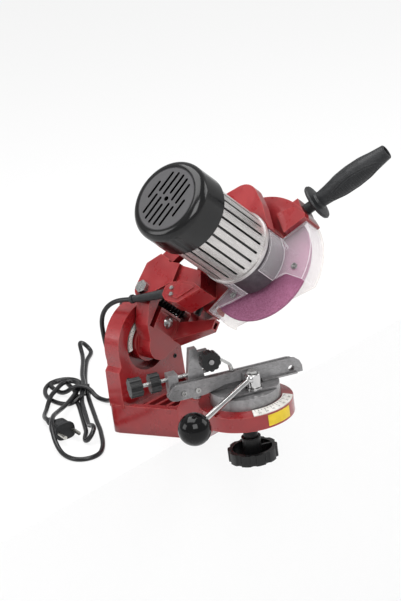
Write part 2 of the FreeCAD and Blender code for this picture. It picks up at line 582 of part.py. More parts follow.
rotor_low, rotor_high = "-motor_start - 78", "-motor_start - 28"
piece("stator", cut(about_wheel("motor_radius - motor_wall", rotor_low, rotor_high),
                    about_wheel("stator_bore", -200, 0)), "head")
piece("rotor", cut(about_wheel("rotor_radius", f"{rotor_low} + 3", f"{rotor_high} - 3"),
                   about_wheel("shaft_radius", -200, 0)), "head")
piece("spindle", fuse(about_wheel("shaft_radius", f"{back} - 30", -12),
                      about_wheel("shaft_radius - 1.5", -13, 9.5)), "head")
bearings = [cut(about_wheel("bearing_radius", place, f"{place} + bearing_width"),
                about_wheel("shaft_radius + running", -220, 0))
            for place in ("-cover_near - 8 - bearing_width", f"{back} + 6")]
piece("spindle_bearings", group(*bearings), "head")
piece("rear_bearing_plate", cut(about_wheel("motor_radius - motor_wall", f"{back} + 1", f"{back} + 6 + bearing_width"),
                                about_wheel("bearing_radius", f"{back} + 6", f"{back} + 7 + bearing_width"),
                                about_wheel("shaft_radius + 1", -220, 0)), "head")
blades = [about_wheel(14, f"{back} - 26", f"{back} - 8")]
for k in range(7):
    blade = doc.addObject("Part::Box", "Blade")
    angle = 360 * k / 7
    bind(blade, Length=16, Width=2, Height=34)
    blade.Placement.Rotation = Rotation(Vector(1, 0, 0), angle)
    put(blade, (f"{back} - 25", f"wheel_y - cos({angle})", f"wheel_r - sin({angle})"))
    blades.append(blade)
piece("cooling_fan", cut(fuse(*blades), about_wheel("shaft_radius", -220, 0)), "head")

wheel = rounded(about_wheel("wheel_radius", "-wheel_thick / 2", "wheel_thick / 2"), 1.2,
                lambda m, a, e: e.Length > 50)
piece("grinding_wheel", cut(wheel, about_wheel("wheel_bore", -9, 9)), "head")
piece("inner_flange", cut(fuse(about_wheel("wheel_bore + 12", "-wheel_thick / 2 - 3", "-wheel_thick / 2"),
                               about_wheel("wheel_bore - running", "-wheel_thick / 2 - 1", "wheel_thick / 2 - 0.4"),
                               about_wheel(12, -12, -4)), about_wheel("shaft_radius - 1.5", -20, 20)), "head")
piece("outer_flange", cut(about_wheel("wheel_bore + 12", "wheel_thick / 2", "wheel_thick / 2 + 2.5"),
                          about_wheel("shaft_radius - 1.5", -20, 20)), "head")
piece("spindle_nut", cut(hexagon(10, 4.6, ("wheel_thick / 2 + 2.5", "wheel_y", "wheel_r"), "x"),
                         about_wheel("shaft_radius - 1.5", -20, 20)), "head")


# ---- clear guards ----

guard_keep = prism([wheel_point(0, 0), wheel_point("150 * cos(cover_front_angle - 0.2)", "150 * sin(cover_front_angle - 0.2)"),
                    wheel_point(150, 90), wheel_point(150, -12), wheel_point(83.5, -11.6), wheel_point(53, -8.2),
                    wheel_point(-12, -56.6), wheel_point(-28.4, -67), wheel_point(-34, -88),
                    wheel_point("100 * cos(cover_rear_angle + 0.3)", "100 * sin(cover_rear_angle + 0.3)")],
                   "YZ", -60, 40)
guard_drum = cut(about_wheel("guard_radius", "-cover_near", "cover_far"),
                 about_wheel("guard_radius - guard_wall", "guard_wall - cover_near", "cover_far + 1"))
collar = about_wheel("hub_radius + seat + guard_wall", -45, "-cover_near + 1")
guard_rib = prism([wheel_point(10, 43), wheel_point(12, 46), wheel_point(44, 24), wheel_point(42, 21)],
                  "YZ", "-cover_near - 4", "-cover_near + 1")
inner_guard = cut(common(fuse(guard_drum, collar, guard_rib), guard_keep), about_wheel("hub_radius + seat", -60, 40))
piece("clear_guard", inner_guard, "head")

plate_cut = prism([wheel_point("guard_radius - 0.5", -11.6), wheel_point(-11, -77.5), wheel_point(-11, -120),
                   wheel_point(150, -120), wheel_point(150, -11.6)], "YZ", 0, 40)
outer_plate = cut(about_wheel("guard_radius + 1", "cover_far", "cover_far + guard_wall"), plate_cut,
                  box((0, 60), (-43, 20), (30, 91)))
piece("outer_guard_plate", outer_plate, "head")

guard_screws = []
for forward, up in ((-10, -48), (64, 2)):
    spot = ("-cover_near - 2", *wheel_point(forward, up))
    guard_screws.append(cut(cylinder(4, 2, spot, "x"), hexagon(1.8, 1.2, (f"{spot[0]} - 0.1", spot[1], spot[2]), "x")))
for degrees in (60, 140, 225):
    spot = ("cover_far + guard_wall", *wheel_point(f"(guard_radius - 1) * cos({degrees})",
                                                   f"(guard_radius - 1) * sin({degrees})"))
    guard_screws.append(cylinder(3, 2, spot, "x"))
piece("guard_screws", group(*guard_screws), "head")


# ---- switch box ----

box_shape = [(-44, 44), (-44, 55), (-52, 62), (-68, 66), (-86, 66), (-100, 60.5), (-72, 37.5), (-52, 38)]
inner_shape = [(-47, 45), (-47, 54), (-54, 59), (-69, 63), (-85, 63), (-94, 60), (-72, 41), (-55, 41)]
cord_lean = -108.6
cord_bore = tilted(cylinder("cord_radius + seat", 14), cord_lean, ("7 - box_near", -49.7, 51.4))
switch_box = cut(prism(box_shape, "YZ", "-box_near", "-box_far"),
                 prism(inner_shape, "YZ", "-box_near - 1", "-box_far - 3"),
                 box(("-box_far - 4", "-box_far + 1"), (-76, -60), (46, 58)),
                 cord_bore)
cover = fuse(prism(box_shape, "YZ", "-box_near - 2", "-box_near"),
             prism([(-50, 46), (-52, 57), (-68, 62), (-84, 62), (-90, 60), (-70, 42)], "YZ",
                   "-box_near - 3.5", "-box_near - 2"))
piece("switch_box_cover", cover, "head")
cover_screws = []
for across, up in ((-57, 54), (-60, 46)):
    cover_screws.append(cut(cylinder(2.5, 2, ("-box_near - 5.5", across, up), "x"),
                            box(("-box_near - 6", "-box_near - 4.5"), (across - 3, across + 3), (up - 0.5, up + 0.5))))
piece("cover_screws", group(*cover_screws), "head")
rocker_frame = cut(box(("-box_far", "-box_far + 1.5"), (-78, -58), (44, 60)),
                   box(("-box_far - 1", "-box_far + 2"), (-76, -60), (46, 58)))
piece("switch_box", fuse(switch_box, rocker_frame), "head")
rocker = common(cylinder(12, 11.4, ("-box_far - 6", -68, 46.3), "z"),
                box(("-box_far - 8", "-box_far + 4"), (-73.8, -62.2), (40, 70)))
rocker = cut(rocker, prism([("-box_far + 0.5", -76), ("-box_far + 10", -76), ("-box_far + 10", -60),
                            ("-box_far + 4", -60), ("-box_far + 2", -68)], "XY", 40, 70))
piece("rocker_switch", rocker, "head")


# ---- chopping handle ----

handle_frame = head_frame.multiply(Placement(
    Vector(number("handle_x"), number(handle_root[0]), number(handle_root[1])),
    Rotation(Vector(1, 0, 0), number(handle_lean))))
piece("handle_stem", cylinder("stem_radius - 2", "handle_out - 23", (0, 0, -3)), handle_frame)
grip_base = "handle_out - grip_length"
grip = spun([(0, 5.5), ("stem_radius", 5.5), ("stem_radius", f"{grip_base} - 5"), ("disc_radius - 1", f"{grip_base} - 5"),
             ("disc_radius", f"{grip_base} - 3"), ("disc_radius - 1", f"{grip_base} - 1"), (11, grip_base),
             ("grip_radius - 4.7", f"{grip_base} + 3"), ("grip_radius - 3.7", f"{grip_base} + 14"),
             ("grip_radius - 0.8", f"{grip_base} + 34"), ("grip_radius", f"{grip_base} + 52"),
             ("grip_radius - 0.8", f"{grip_base} + 70"), ("grip_radius - 3.6", f"{grip_base} + 90"),
             ("grip_radius - 5.2", "handle_out - 1"), ("grip_radius - 6.2", "handle_out"), (0, "handle_out")])
grip = cut(grip, cylinder("stem_radius - 2", "handle_out - 26"), cylinder("grip_radius - 8", 12, (0, 0, "handle_out - 11")))
piece("handle_grip", grip, handle_frame)


# ---- rotating vise: in its own frame, on the table with X along the rails ----

deck = common(cylinder("disc_seat", "rail_low"), box((-60, 60), (-28, 60), (1, "rail_low")))
turntable = fuse(cylinder("disc_seat", "rail_low - 3"), deck)
turntable = cut(turntable, box((-60, 60), (-29.5, -28), ("rail_low - 4.2", 30)),
                cylinder("stud_radius", 9, (0, 0, -1)), cylinder("stud_radius - 2", 30, ("lever_x", "lever_y", 6)))
piece("vise_turntable", turntable, "vise")

front_face = "rail_y - rail_gap / 2 - rail_thick"
rail_top = "rail_low + rail_height"


def rail_outline(left, right, low, high, notch):
    """A rail seen from the front; its lower edge can rise towards the middle."""
    points = [(f"{left} + 3", f"{low} + 1.5"), (f"{left} + 9", low)]
    if notch:
        points += [(-50, low), (-24, f"{low} + 7"), (20, f"{low} + 7"), (24, low)]
    points += [(right, low), (right, f"{high} - 12"), (f"{right} - 2.5", f"{high} - 5.5"),
               (f"{right} - 8", f"{high} - 1"), (f"{right} - 13", high), (f"{left} + 10", high),
               (f"{left} + 4", f"{high} - 5"), (left, f"{high} - 12"), (left, f"{low} + 5")]
    return points


fixed = prism(rail_outline("-rail_left", "rail_right - 4", "rail_low", rail_top, False), "XZ",
              "rail_y + rail_gap / 2", "rail_y + rail_gap / 2 + rail_thick")
carrier = box(("4 - rail_left", "16 - rail_left"), ("rail_y + rail_gap / 2 + 0.5", "screw_y + 7"), ("rail_low + 6", "screw_z + 7"))
shelf = box(("16 - rail_left", -20), ("rail_y + rail_gap / 2 + rail_thick - 1", "rail_y + rail_gap / 2 + rail_thick + 4"),
            ("rail_low", "rail_low + 4"))
rail_bolt = cut(cylinder(5, 6, (-58, "rail_y + 5", "rail_low - 5")), hexagon(2.4, 3, (-58, "rail_y + 5", "rail_low - 5.1")))
fixed = cut(fuse(fixed, carrier, shelf, rail_bolt), cylinder("screw_r + running", 60, (-120, "screw_y", "screw_z"), "x"),
            cylinder(4, 40, (61, -10, "rail_low + 7"), "y"))
piece("fixed_rail", fixed, "vise")

jaw = prism(rail_outline("-rail_left", "rail_right", "rail_low + seat", rail_top, True), "XZ",
            front_face, f"{front_face} + rail_thick")
push_pad = box(("lever_x - 9", "lever_x + 9"), ("lever_y + hub_r + sliding", f"{front_face} + 1"),
               ("rail_low + 8", "rail_low + 17"))
ledge = box((22, "rail_right - 8"), (f"{front_face} - 4", f"{front_face} + 1"), ("rail_low + seat", "rail_low + 2.2"))
jaw = cut(fuse(jaw, push_pad, ledge), cylinder(4, 40, (61, -20, "rail_low + 7"), "y"))
piece("clamping_rail", jaw, "vise")

rail_heads = []
for along in (-76, -58):
    spot = (along, f"{front_face} - 1.8", "rail_low + 8")
    rail_heads.append(cut(cylinder(3.4, 1.8, spot, "y"), hexagon(1.8, 1, (spot[0], f"{spot[1]} - 0.1", spot[2]), "y")))
piece("jaw_screws", group(*rail_heads), "vise")

# clamp lever: a hub on an upright pin, with a bent-down rod and a ball
lever_cos, lever_sin = "cos(lever_bearing)", "sin(lever_bearing)"
fall = "(lever_high - lever_low) / lever_length"
rod_tip = "(lever_length - ball_radius + 4)"
rod_frame = Rotation(Vector(0, 0, 1), sizes["lever_bearing"]).multiply(
    Rotation(Vector(0, 1, 0), 90 + number(f"atan({fall})")))
rod = doc.addObject("Part::Cylinder", "Rod")
rod.Placement.Rotation = rod_frame
bind(rod, Radius="rod_radius", Height=f"{rod_tip} / cos(atan({fall}))")
put(rod, ("lever_x", "lever_y", "lever_high - 3"))
knuckle = ball(7, (f"lever_x + 4 * {lever_cos}", f"lever_y + 4 * {lever_sin}", "lever_high - 4.5"))
hub = rounded(cylinder("hub_r", "lever_high + 1 - rail_low - 3", ("lever_x", "lever_y", "rail_low + 3")), 1,
              lambda m, a, e: e.Length > 40)
lever = cut(fuse(hub, cylinder("hub_r + 1.6", 2.7, ("lever_x", "lever_y", "rail_low + seat")), knuckle, rod),
            cylinder("stud_radius - 2 + running", 60, ("lever_x", "lever_y", 0)),
            cylinder(7.5, 9, ("lever_x", "lever_y", "lever_high + 1")),
            box(("lever_x - 9", "lever_x + 9"), ("lever_y + hub_r", 0), (17, 60)))
piece("clamp_lever", lever, "vise")
ball_at = (f"lever_x + lever_length * {lever_cos}", f"lever_y + lever_length * {lever_sin}", "lever_low - 3")
ball_bore = doc.addObject("Part::Cylinder", "Bore")
ball_bore.Placement.Rotation = rod_frame
bind(ball_bore, Radius="rod_radius", Height=f"{rod_tip} / cos(atan({fall}))")
put(ball_bore, ("lever_x", "lever_y", "lever_high - 3"))
piece("lever_ball", cut(ball("ball_radius", ball_at), ball_bore), "vise")
piece("clamp_pin", fuse(cylinder("stud_radius - 2", "lever_high + 1 - 6 + 0.3", ("lever_x", "lever_y", 6)),
                        hexagon(6.5, 3.5, ("lever_x", "lever_y", "lever_high + 1.3"))), "vise")

# chain stop: a tower that the adjusting screw moves along the rails, with a hinged pawl
tower = prism([("stop_x - 10", "rail_low + 4.3"), ("stop_x + 11", "rail_low + 4.3"), ("stop_x + 11", rail_top),
               ("stop_x + 5.5", "stop_top"), ("stop_x - 3.5", "stop_top"), ("stop_x - 10", rail_top)], "XZ",
              "rail_y + rail_gap / 2 + rail_thick + sliding", "screw_y + 5")
pivot_arm = box(("stop_x + 4", "stop_x + 19"), ("screw_y - 4", "screw_y + 3"), ("pawl_z - 7", "pawl_z + 7"))
pawl_x = "(stop_x + 15)"
stop_pin = cylinder(3, "screw_y + 24", (pawl_x, -19, "pawl_z"), "y")
tower = cut(fuse(tower, pivot_arm, stop_pin),
            cylinder("screw_r + running", 30, ("stop_x - 12", "screw_y", "screw_z"), "x"))
piece("chain_stop", tower, "vise")
pawl = fuse(prism([("stop_x + 9", "pawl_z - 5"), ("stop_x + 9", "pawl_z + 5"), ("stop_x + 18", "pawl_z + 5"),
                   ("stop_x + 29", "pawl_z - 2.4"), ("stop_x + 43.5", 47.5), ("stop_x + 46.5", "rail_low + rail_height + 1.5"),
                   ("stop_x + 41.5", "rail_low + rail_height + 1.5"), ("stop_x + 40.5", 46),
                   ("stop_x + 27.5", "pawl_z - 5")], "XZ", "rail_y - 3", "rail_y + 3"),
            cylinder(7, 6, (pawl_x, "rail_y - 3", "pawl_z"), "y"))
piece("stop_pawl", cut(pawl, cylinder("3 + running", 60, (pawl_x, -30, "pawl_z"), "y")), "vise")
pawl_knob = fuse(lobed_knob("knob_r", "knob_wide", 10, 2.6, (pawl_x, -17, "pawl_z"), "y"),
                 cylinder(7, "rail_y + 3 - seat", (pawl_x, -6, "pawl_z"), "y"))
piece("pawl_knob", cut(pawl_knob, cylinder("3 + running", 60, (pawl_x, -30, "pawl_z"), "y")), "vise")

screw_start = "-rail_left - 42"
piece("adjusting_screw", cylinder("screw_r", "stop_x + 10 - seat + rail_left + 42 + 8",
                                  (screw_start, "screw_y", "screw_z"), "x"), "vise")
piece("adjusting_knob", cut(lobed_knob(12, 15, 8, 4, (f"{screw_start} - 1", "screw_y", "screw_z"), "x"),
                            cylinder("screw_r", 40, (screw_start, "screw_y", "screw_z"), "x")), "vise")
piece("adjuster_lock_knob", cut(lobed_knob(12, 12.5, 8, 4, ("-rail_left - 18", "screw_y", "screw_z"), "x"),
                                cylinder("screw_r + running", 90, (-150, "screw_y", "screw_z"), "x")), "vise")

# stud and handwheel that lock the turntable from under the table
stud_low = "wheel_knob_low - table_top"
piece("vise_stud", cylinder("stud_radius", f"-({stud_low}) + 8 - 3", (0, 0, f"{stud_low} + 3")), "vise")
knob_top = "hub_top - table_top"
wheel_knob = fuse(lobed_knob("wheel_knob_radius", "wheel_knob_high - wheel_knob_low", 10, 5, (0, 0, stud_low), "z"),
                  cylinder(11.5, f"{knob_top} - ({stud_low})", (0, 0, stud_low)))
wheel_room = cut(cylinder("wheel_knob_radius - 6", 12, (0, 0, f"{stud_low} + 4")), cylinder(11.5, 60, (0, 0, stud_low)),
                 *[box((0, "wheel_knob_radius"), (-1.5, 1.5), (stud_low, knob_top))])
piece("lock_handwheel", cut(wheel_knob, wheel_room, cylinder("stud_radius + running", 90, (0, 0, f"{stud_low} + 1"))),
      "vise")
under_table = "-table_thick - seat"
spacer = fuse(cylinder(12, 2, (0, 0, f"{knob_top} + seat")),
              cylinder(9, f"{under_table} - ({knob_top}) - 2", (0, 0, f"{knob_top} + 2")))
piece("lock_spacer", cut(spacer, cylinder("stud_radius", 90, (0, 0, knob_top))), "vise")


# ---- cord: strain relief, free cord, tied hank and plug ----

def cord_tube(label, points, radius):
    """A tube along straight runs joined by the largest tangent arcs that the runs allow."""
    spots = [Vector(*point) for point in points]
    edges = []
    start = spots[0]
    length = 0
    radii = []
    for before, corner, after in zip(spots, spots[1:], spots[2:]):
        run_in, run_out = (corner - before), (after - corner)
        turn = run_in.getAngle(run_out)
        reach = 0.45 * min(run_in.Length, run_out.Length)
        inward, outward = run_in.normalize(), run_out.normalize()
        arc_radius = reach / (sum([(outward - inward).Length / (outward + inward).Length]))
        first, last = corner - inward * reach, corner + outward * reach
        towards = (outward - inward).normalize()
        heart = corner + towards * (reach ** 2 + arc_radius ** 2) ** 0.5
        middle = heart - towards * arc_radius
        edges += [Part.makeLine(start, first), Part.Arc(first, middle, last).toShape()]
        length += (first - start).Length + arc_radius * turn
        radii.append(round(arc_radius, 1))
        start = last
    edges.append(Part.makeLine(start, spots[-1]))
    length += (spots[-1] - start).Length
    route = doc.addObject("Part::Feature", "Route")
    route.Shape = Part.Wire(edges)
    ring = doc.addObject("Part::Circle", "Ring")
    bind(ring, Radius=radius)
    ring.Placement = Placement(spots[0], Rotation(Vector(0, 0, 1), spots[1] - spots[0]))
    tube = doc.addObject("Part::Sweep", "Tube")
    tube.Sections = [ring]
    tube.Spine = (route, [f"Edge{k + 1}" for k in range(len(edges))])
    tube.Solid = True
    tube.Frenet = False
    piece(label, group(tube))
    doc.recompute()
    area = 3.14159265 * number(radius) ** 2
    print(f"{label}: arc radii {radii} mm, length {length:.1f} mm, "
          f"volume over section times length {tube.Shape.Volume / area / length:.4f}")


cord_route = [(-7.1, -47.8, 179), (-17.9, -0.4, 167.4), (-26, 36, 163), (-28, 60, 140), (-24, 64, 104),
              (-16, 66, 70), (-10, 68, 46), (-4, 80, 20), (1, 98, 5.5), (4, 120, 3.2), (6, 142, 3.2)]
plug_route = [(-92.3, 109.2, 11), (-87, 125, 11), (-79, 140, 7.5), (-64, 154, 4.2), (-40, 168, 3.2), (-14, 178, 3.2)]
cord_tube("power_cord", cord_route, "cord_radius")
cord_tube("plug_cord", plug_route, "cord_radius")

relief = tilted(cut(spun([(0, 0), (5.4, 0), (5.4, 3), (5, 4), ("cord_radius + 1", 28), (0, 28)]),
                    cylinder("cord_radius + seat", 60, (0, 0, -5))), cord_lean, ("7 - box_near", -44, 49.5))
relief = common(relief, box((-80, -30), (-44, 0), (0, 90)))
piece("strain_relief", relief, "head")

# the hank is the outer shape of its turns: a long double strand, two small loops beside the tie, and
# one big loop that runs over the plug and encloses a folded strand
hank_top = "2 * cord_radius + 0.6"
upper_strands = prism([(2, 160), (16, 146), (110, 236), (140, 252), (154, 262), (155, 282), (140, 293), (122, 287),
                       (104, 262), (60, 214)], "XY", 0, hank_top)
small_loops = prism([(-40, 148), (-22, 138), (14, 150), (40, 178), (48, 196), (48, 214), (36, 231), (17, 236), (-2, 229),
                     (-18, 211), (-28, 190), (-33, 168)], "XY", 0, hank_top)
big_loop = cut(
    prism([(12, 164), (-31, 158), (-50, 142), (-76, 119), (-104, 96), (-124, 76), (-143, 46), (-152, 26), (-152, 8),
           (-140, -8), (-120, -9), (-102, 2), (-86, 20), (-62, 50), (-48, 68), (-34, 86), (-17, 108), (18, 150)],
          "XY", 0, hank_top),
    prism([(-44, 131), (-40, 125), (-66, 91), (-80, 74), (-94, 66), (-112, 53), (-112, 38), (-100, 25), (-110, 14),
           (-122, 3), (-134, 3), (-141, 12), (-140, 25), (-132, 42), (-115, 68), (-98, 84), (-72, 106)],
          "XY", -1, 12))
hump_side = group(prism([(-58, -1), (-58, 4), (-32, 26.5), (-14, 29), (16, 29), (30, 26.5), (54, 4), (54, -1)],
                        "YZ", -30, 30))
hump_side.Placement = Placement(Vector(-98, 90, 0), Rotation(Vector(0, 0, 1), -45))
hump = common(prism([(-58, 128), (-50, 116), (-76, 97), (-98, 80), (-113, 67), (-124, 55), (-132, 42), (-136, 30),
                     (-146, 34), (-143, 48), (-132, 66), (-124, 77), (-104, 98), (-80, 118)], "XY", 0, 30), hump_side)

plug_frame = Placement(Vector(-92, 109, 11), Rotation(Vector(0, 0, 1), -18.4).multiply(Rotation(Vector(1, 0, 0), 90)))
plug_body = fuse(cylinder("cord_radius + 1.5", 9, (0, 0, 0)), cone("cord_radius + 1.5", 9, 6, (0, 0, 8)),
                 box((-12, 12), (-10, 10), (13, 34)), box((-13.5, 13.5), (-11, 11), (33, 38)))
plug_body = cut(plug_body, cylinder("cord_radius", 6, (0, 0, -1)))
plug_room = fuse(cylinder("cord_radius + 2.5", 18, (0, 0, -9)), cone("cord_radius + 2.5", 9.8, 6, (0, 0, 7.4)),
                 box((-12.6, 12.6), (-11.5, 10.6), (12.4, 34)), box((-14.1, 14.1), (-11.5, 11.6), (32.4, 38.6)),
                 cylinder(3, 24, (9.5, 0, 38)), cylinder(3, 24, (-9.5, 0, 38)))
plug_room.Placement = plug_frame

tied = Placement(Vector(8, 157, 0), Rotation(Vector(0, 0, 1), 42))
tied_middle = group(box((-9, 9), (-11.4, 11.4), (0, 14.2)))
tie_groove = group(cut(box((-2.7, 2.7), (-11.6, 11.6), (-1, 15)), box((-3, 3), (-10, 10), (1.4, 12.6))))
tied_middle.Placement = tied
tie_groove.Placement = tied
piece("cord_hank", cut(fuse(upper_strands, small_loops, big_loop, hump, tied_middle), plug_room, tie_groove))
piece("cord_tie", cut(box((-2.5, 2.5), (-11.3, 11.3), (0, 14.2)), box((-3, 3), (-10.2, 10.2), (1.2, 12.8))), tied)
piece("plug_body", plug_body, plug_frame)
pins = group(*[cylinder(2.4, 19, (side, 0, 38)) for side in (-9.5, 9.5)])
piece("plug_pins", pins, plug_frame)


# ---- checks and files ----

doc.recompute()
for thing in doc.Objects:
    if "Invalid" in thing.State or "Error" in thing.State:
        raise RuntimeError(f"{thing.Label} failed: {thing.State}")
os.makedirs("parts", exist_ok=True)
for label, thing in nodes.items():
    shape = thing.Shape
    if shape.isNull() or not shape.isValid() or not shape.Solids:
        raise RuntimeError(f"{label} has no valid solid")
for label, thing in nodes.items():
    thing.Shape.exportStep(f"parts/{label}.step")
    print(f"{label}: {len(thing.Shape.Solids)} solids, {thing.Shape.Volume / 1000:.1f} cm3")
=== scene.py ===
import math

import bpy
import numpy as np
from mathutils import Matrix, Vector


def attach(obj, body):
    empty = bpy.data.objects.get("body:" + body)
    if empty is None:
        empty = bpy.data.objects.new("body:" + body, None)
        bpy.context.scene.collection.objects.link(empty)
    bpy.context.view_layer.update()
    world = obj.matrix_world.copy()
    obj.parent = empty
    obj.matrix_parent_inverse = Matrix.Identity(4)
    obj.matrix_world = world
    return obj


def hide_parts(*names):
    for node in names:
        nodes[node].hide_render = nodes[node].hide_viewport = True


# A bench grinder for sharpening saw chains, dressed for its portrait.
# The scene is in metres, in the same frame as the CAD; numbers that are multiplied by mm are in millimetres.

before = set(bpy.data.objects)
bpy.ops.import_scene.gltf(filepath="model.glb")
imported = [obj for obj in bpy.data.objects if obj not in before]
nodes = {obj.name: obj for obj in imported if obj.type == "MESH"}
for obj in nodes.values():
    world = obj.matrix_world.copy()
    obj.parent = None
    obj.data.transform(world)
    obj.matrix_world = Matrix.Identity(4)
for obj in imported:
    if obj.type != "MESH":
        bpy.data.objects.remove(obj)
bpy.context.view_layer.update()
mm = 0.001


def addObject(name, data):
    # A new object that holds the data, linked to the scene.
    holder = bpy.data.objects.new(name, data)
    bpy.context.scene.collection.objects.link(holder)
    return holder


# camera: high on the left of the vise, rolled a little

cameraSet = {"azimuth": -135, "elevation": 20, "roll": 8, "distance": 3.0, "lens": 149, "sensor": 36,
             "clip": (0.1, 20), "aim": (0, -0.143, 0.055), "aimPixel": (245.7, 397.5),
             "middlePixel": (200.5, 300.5), "pixelsPerMetre": 830}


def placeCamera(setting):
    # Looks along one bearing at the aim point, then slides across its own plane until that point
    # falls on its pixel of a 401 by 601 picture.
    turn, lift, roll = (math.radians(setting[key]) for key in ("azimuth", "elevation", "roll"))
    back = Vector((math.cos(lift) * math.cos(turn), math.cos(lift) * math.sin(turn), math.sin(lift)))
    level = Vector((-math.sin(turn), math.cos(turn), 0))
    rise = back.cross(level)
    right = level * math.cos(roll) - rise * math.sin(roll)
    up = level * math.sin(roll) + rise * math.cos(roll)
    across, down = ((pixel - middle) / setting["pixelsPerMetre"]
                    for pixel, middle in zip(setting["aimPixel"], setting["middlePixel"]))
    place = Vector(setting["aim"]) - right * across + up * down + back * setting["distance"]
    camera = addObject("camera", bpy.data.cameras.new("camera"))
    camera.data.lens = setting["lens"]
    camera.data.sensor_width = setting["sensor"]
    camera.data.clip_start, camera.data.clip_end = setting["clip"]
    camera.matrix_world = Matrix((*zip(right, up, back, place), (0, 0, 0, 1)))
    bpy.context.scene.camera = camera


placeCamera(cameraSet)
print("camera placed")

# mains cord: one smooth line from the switch box, down behind the column, through the tied hank

cordSet = {"diameter": 0.006, "length": 2.02, "roundSteps": 4, "lineSteps": 8}

# out of the strain relief, down behind the column and along the bench
cordFall = [(-7.1, -47.8, 179), (-17.9, -0.4, 167.4), (-26, 36, 163), (-28, 60, 140), (-24, 64, 104),
            (-16, 66, 70), (-10, 68, 46), (-4, 80, 20), (1, 98, 5.5), (4, 116, 3.2)]
# over the tied strands and round the inner loop beside the tie
smallLoop = [(5, 128, 5), (6, 139, 14), (3, 150, 16), (-2, 161, 15), (-5, 172, 7), (-4, 184, 3.4),
             (0, 196, 3.2), (3, 206, 3.2), (7, 215, 3.2), (16, 220, 3.2), (25, 216, 3.2), (27, 205, 3.2),
             (21, 195, 3.2), (15, 182, 3.2), (9, 170, 3.2)]
# back through the tie, out to a standing fold beyond the plug's pins and back
foldedStrand = [(3.1, 162.4, 3.2), (-12.5, 147.5, 3.2), (-25.3, 128.9, 3.2), (-41.1, 109.5, 3.2),
                (-56.9, 90.1, 3.2), (-72.7, 70.7, 3.2), (-81, 60.7, 3.2), (-89.8, 53.7, 3.1),
                (-97.1, 47.4, 3.1), (-102.1, 41, 3.3), (-103.1, 34, 7), (-98.9, 30.6, 13.7),
                (-92.3, 33, 17.5), (-87, 39.2, 17.8), (-81.6, 48.3, 15), (-76.2, 58.1, 10.4),
                (-68.6, 68.7, 7.8), (-53.5, 87.3, 7.8), (-35.8, 109, 7.6), (-20.7, 127.6, 6), (-3, 146, 4),
                (8, 157, 3.2)]
# the outer loop beside the tie
wideLoop = [(19, 168, 3.2), (29, 179, 3.2), (36, 191, 3.2), (37, 205, 3.2), (30, 218, 3.2), (16, 223, 3.2),
            (0, 217, 3.2), (-14, 204, 3.2), (-24, 188, 3.2), (-29, 171, 3.2), (-30, 155, 3.2), (-26, 142, 4),
            (-14, 137, 9.4), (-2, 143.5, 10), (10.4, 154.3, 9.6)]
# out along the other double strand to a standing fold and back
longLoop = [(25.9, 170.1, 9.5), (40.7, 188, 9.4), (58.7, 205.3, 9.4), (77.2, 222.2, 9.4),
            (93.1, 238.9, 10.4), (99.8, 247.8, 15), (106.6, 256, 17.8), (112.7, 261.3, 17.5),
            (119.5, 262.7, 13.7), (123.2, 258.7, 7), (121.2, 252, 3.3), (115.3, 246.4, 3.1),
            (107.2, 241.2, 3.1), (97.4, 235.6, 3.2), (82.7, 223.5, 3.2), (60.7, 203.1, 3.2),
            (39.3, 182.1, 3.2), (26.1, 166.8, 3.2)]
# the big loop: round its far end, over the plug and back to the tie
bigLoop = [(12.9, 151.6, 3.2), (-4, 132, 3.2), (-22, 109, 3.2), (-39, 87, 3.2), (-54, 68, 3.2),
           (-67, 50, 3.2), (-79, 36, 3.2), (-91, 22, 3.2), (-106, 7, 3.2), (-122, -4, 3.2), (-138, -2, 3.2),
           (-148, 10, 3.2), (-148, 27, 3.2), (-143, 44, 5), (-134, 62, 14), (-121, 78, 24.5), (-110, 88, 26),
           (-98, 98, 25), (-82, 110, 20), (-64, 122.5, 14.6), (-46, 133, 10.8), (-29, 141, 10),
           (-12, 149.5, 9.8), (5.6, 159.7, 9.7)]
# over the inner loop and into the back of the plug
plugRun = [(14.5, 168, 9.8), (20.5, 177, 10), (20.5, 187.5, 10.2), (12.5, 193, 10.4), (1, 190, 10.4),
           (-13, 183, 10.4), (-27, 177.5, 10.2), (-41, 170, 5), (-54, 160, 3.4), (-68, 149, 5),
           (-80, 136, 8), (-88, 122, 11), (-92.3, 109.2, 11)]


def layCord(points, setting):
    # One open NURBS line with the points as its controls; its round section of radius 1 is scaled by half the
    # diameter at each point.
    curve = bpy.data.curves.new("mains_cord", "CURVE")
    curve.dimensions = "3D"
    curve.bevel_depth = 1
    curve.bevel_resolution = setting["roundSteps"]
    curve.use_fill_caps = True
    spline = curve.splines.new("NURBS")
    spline.points.add(len(points) - 1)
    flat = np.ones((len(points), 4))
    flat[:, :3] = np.array(points, float) * mm
    spline.points.foreach_set("co", flat.ravel())
    spline.points.foreach_set("radius", np.full(len(points), setting["diameter"] / 2))
    spline.order_u = 3
    spline.use_endpoint_u = True
    spline.resolution_u = setting["lineSteps"]
    return addObject("mains_cord", curve)


cordPoints = cordFall + smallLoop + foldedStrand + wideLoop + longLoop + bigLoop + plugRun
mainsCord = layCord(cordPoints, cordSet)
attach(mainsCord, "base")
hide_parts("power_cord", "plug_cord", "cord_hank")
print("cord laid")

# shader tools


def tone(red, green, blue):
    # A colour picked on a screen, 0 to 255, turned to the linear values a shader wants.
    part = np.array([red, green, blue]) / 255
    line = np.where(part > 0.04045, ((part + 0.055) / 1.055) ** 2.4, part / 12.92)
    return (*line.tolist(), 1)


def setInputs(tree, node, values):
    # Each input, by name or number, takes a plain value, or a link where the value is another node's socket.
    for key, value in (values or {}).items():
        if isinstance(value, bpy.types.NodeSocket):
            tree.links.new(value, node.inputs[key])
        else:
            node.inputs[key].default_value = value
    return node


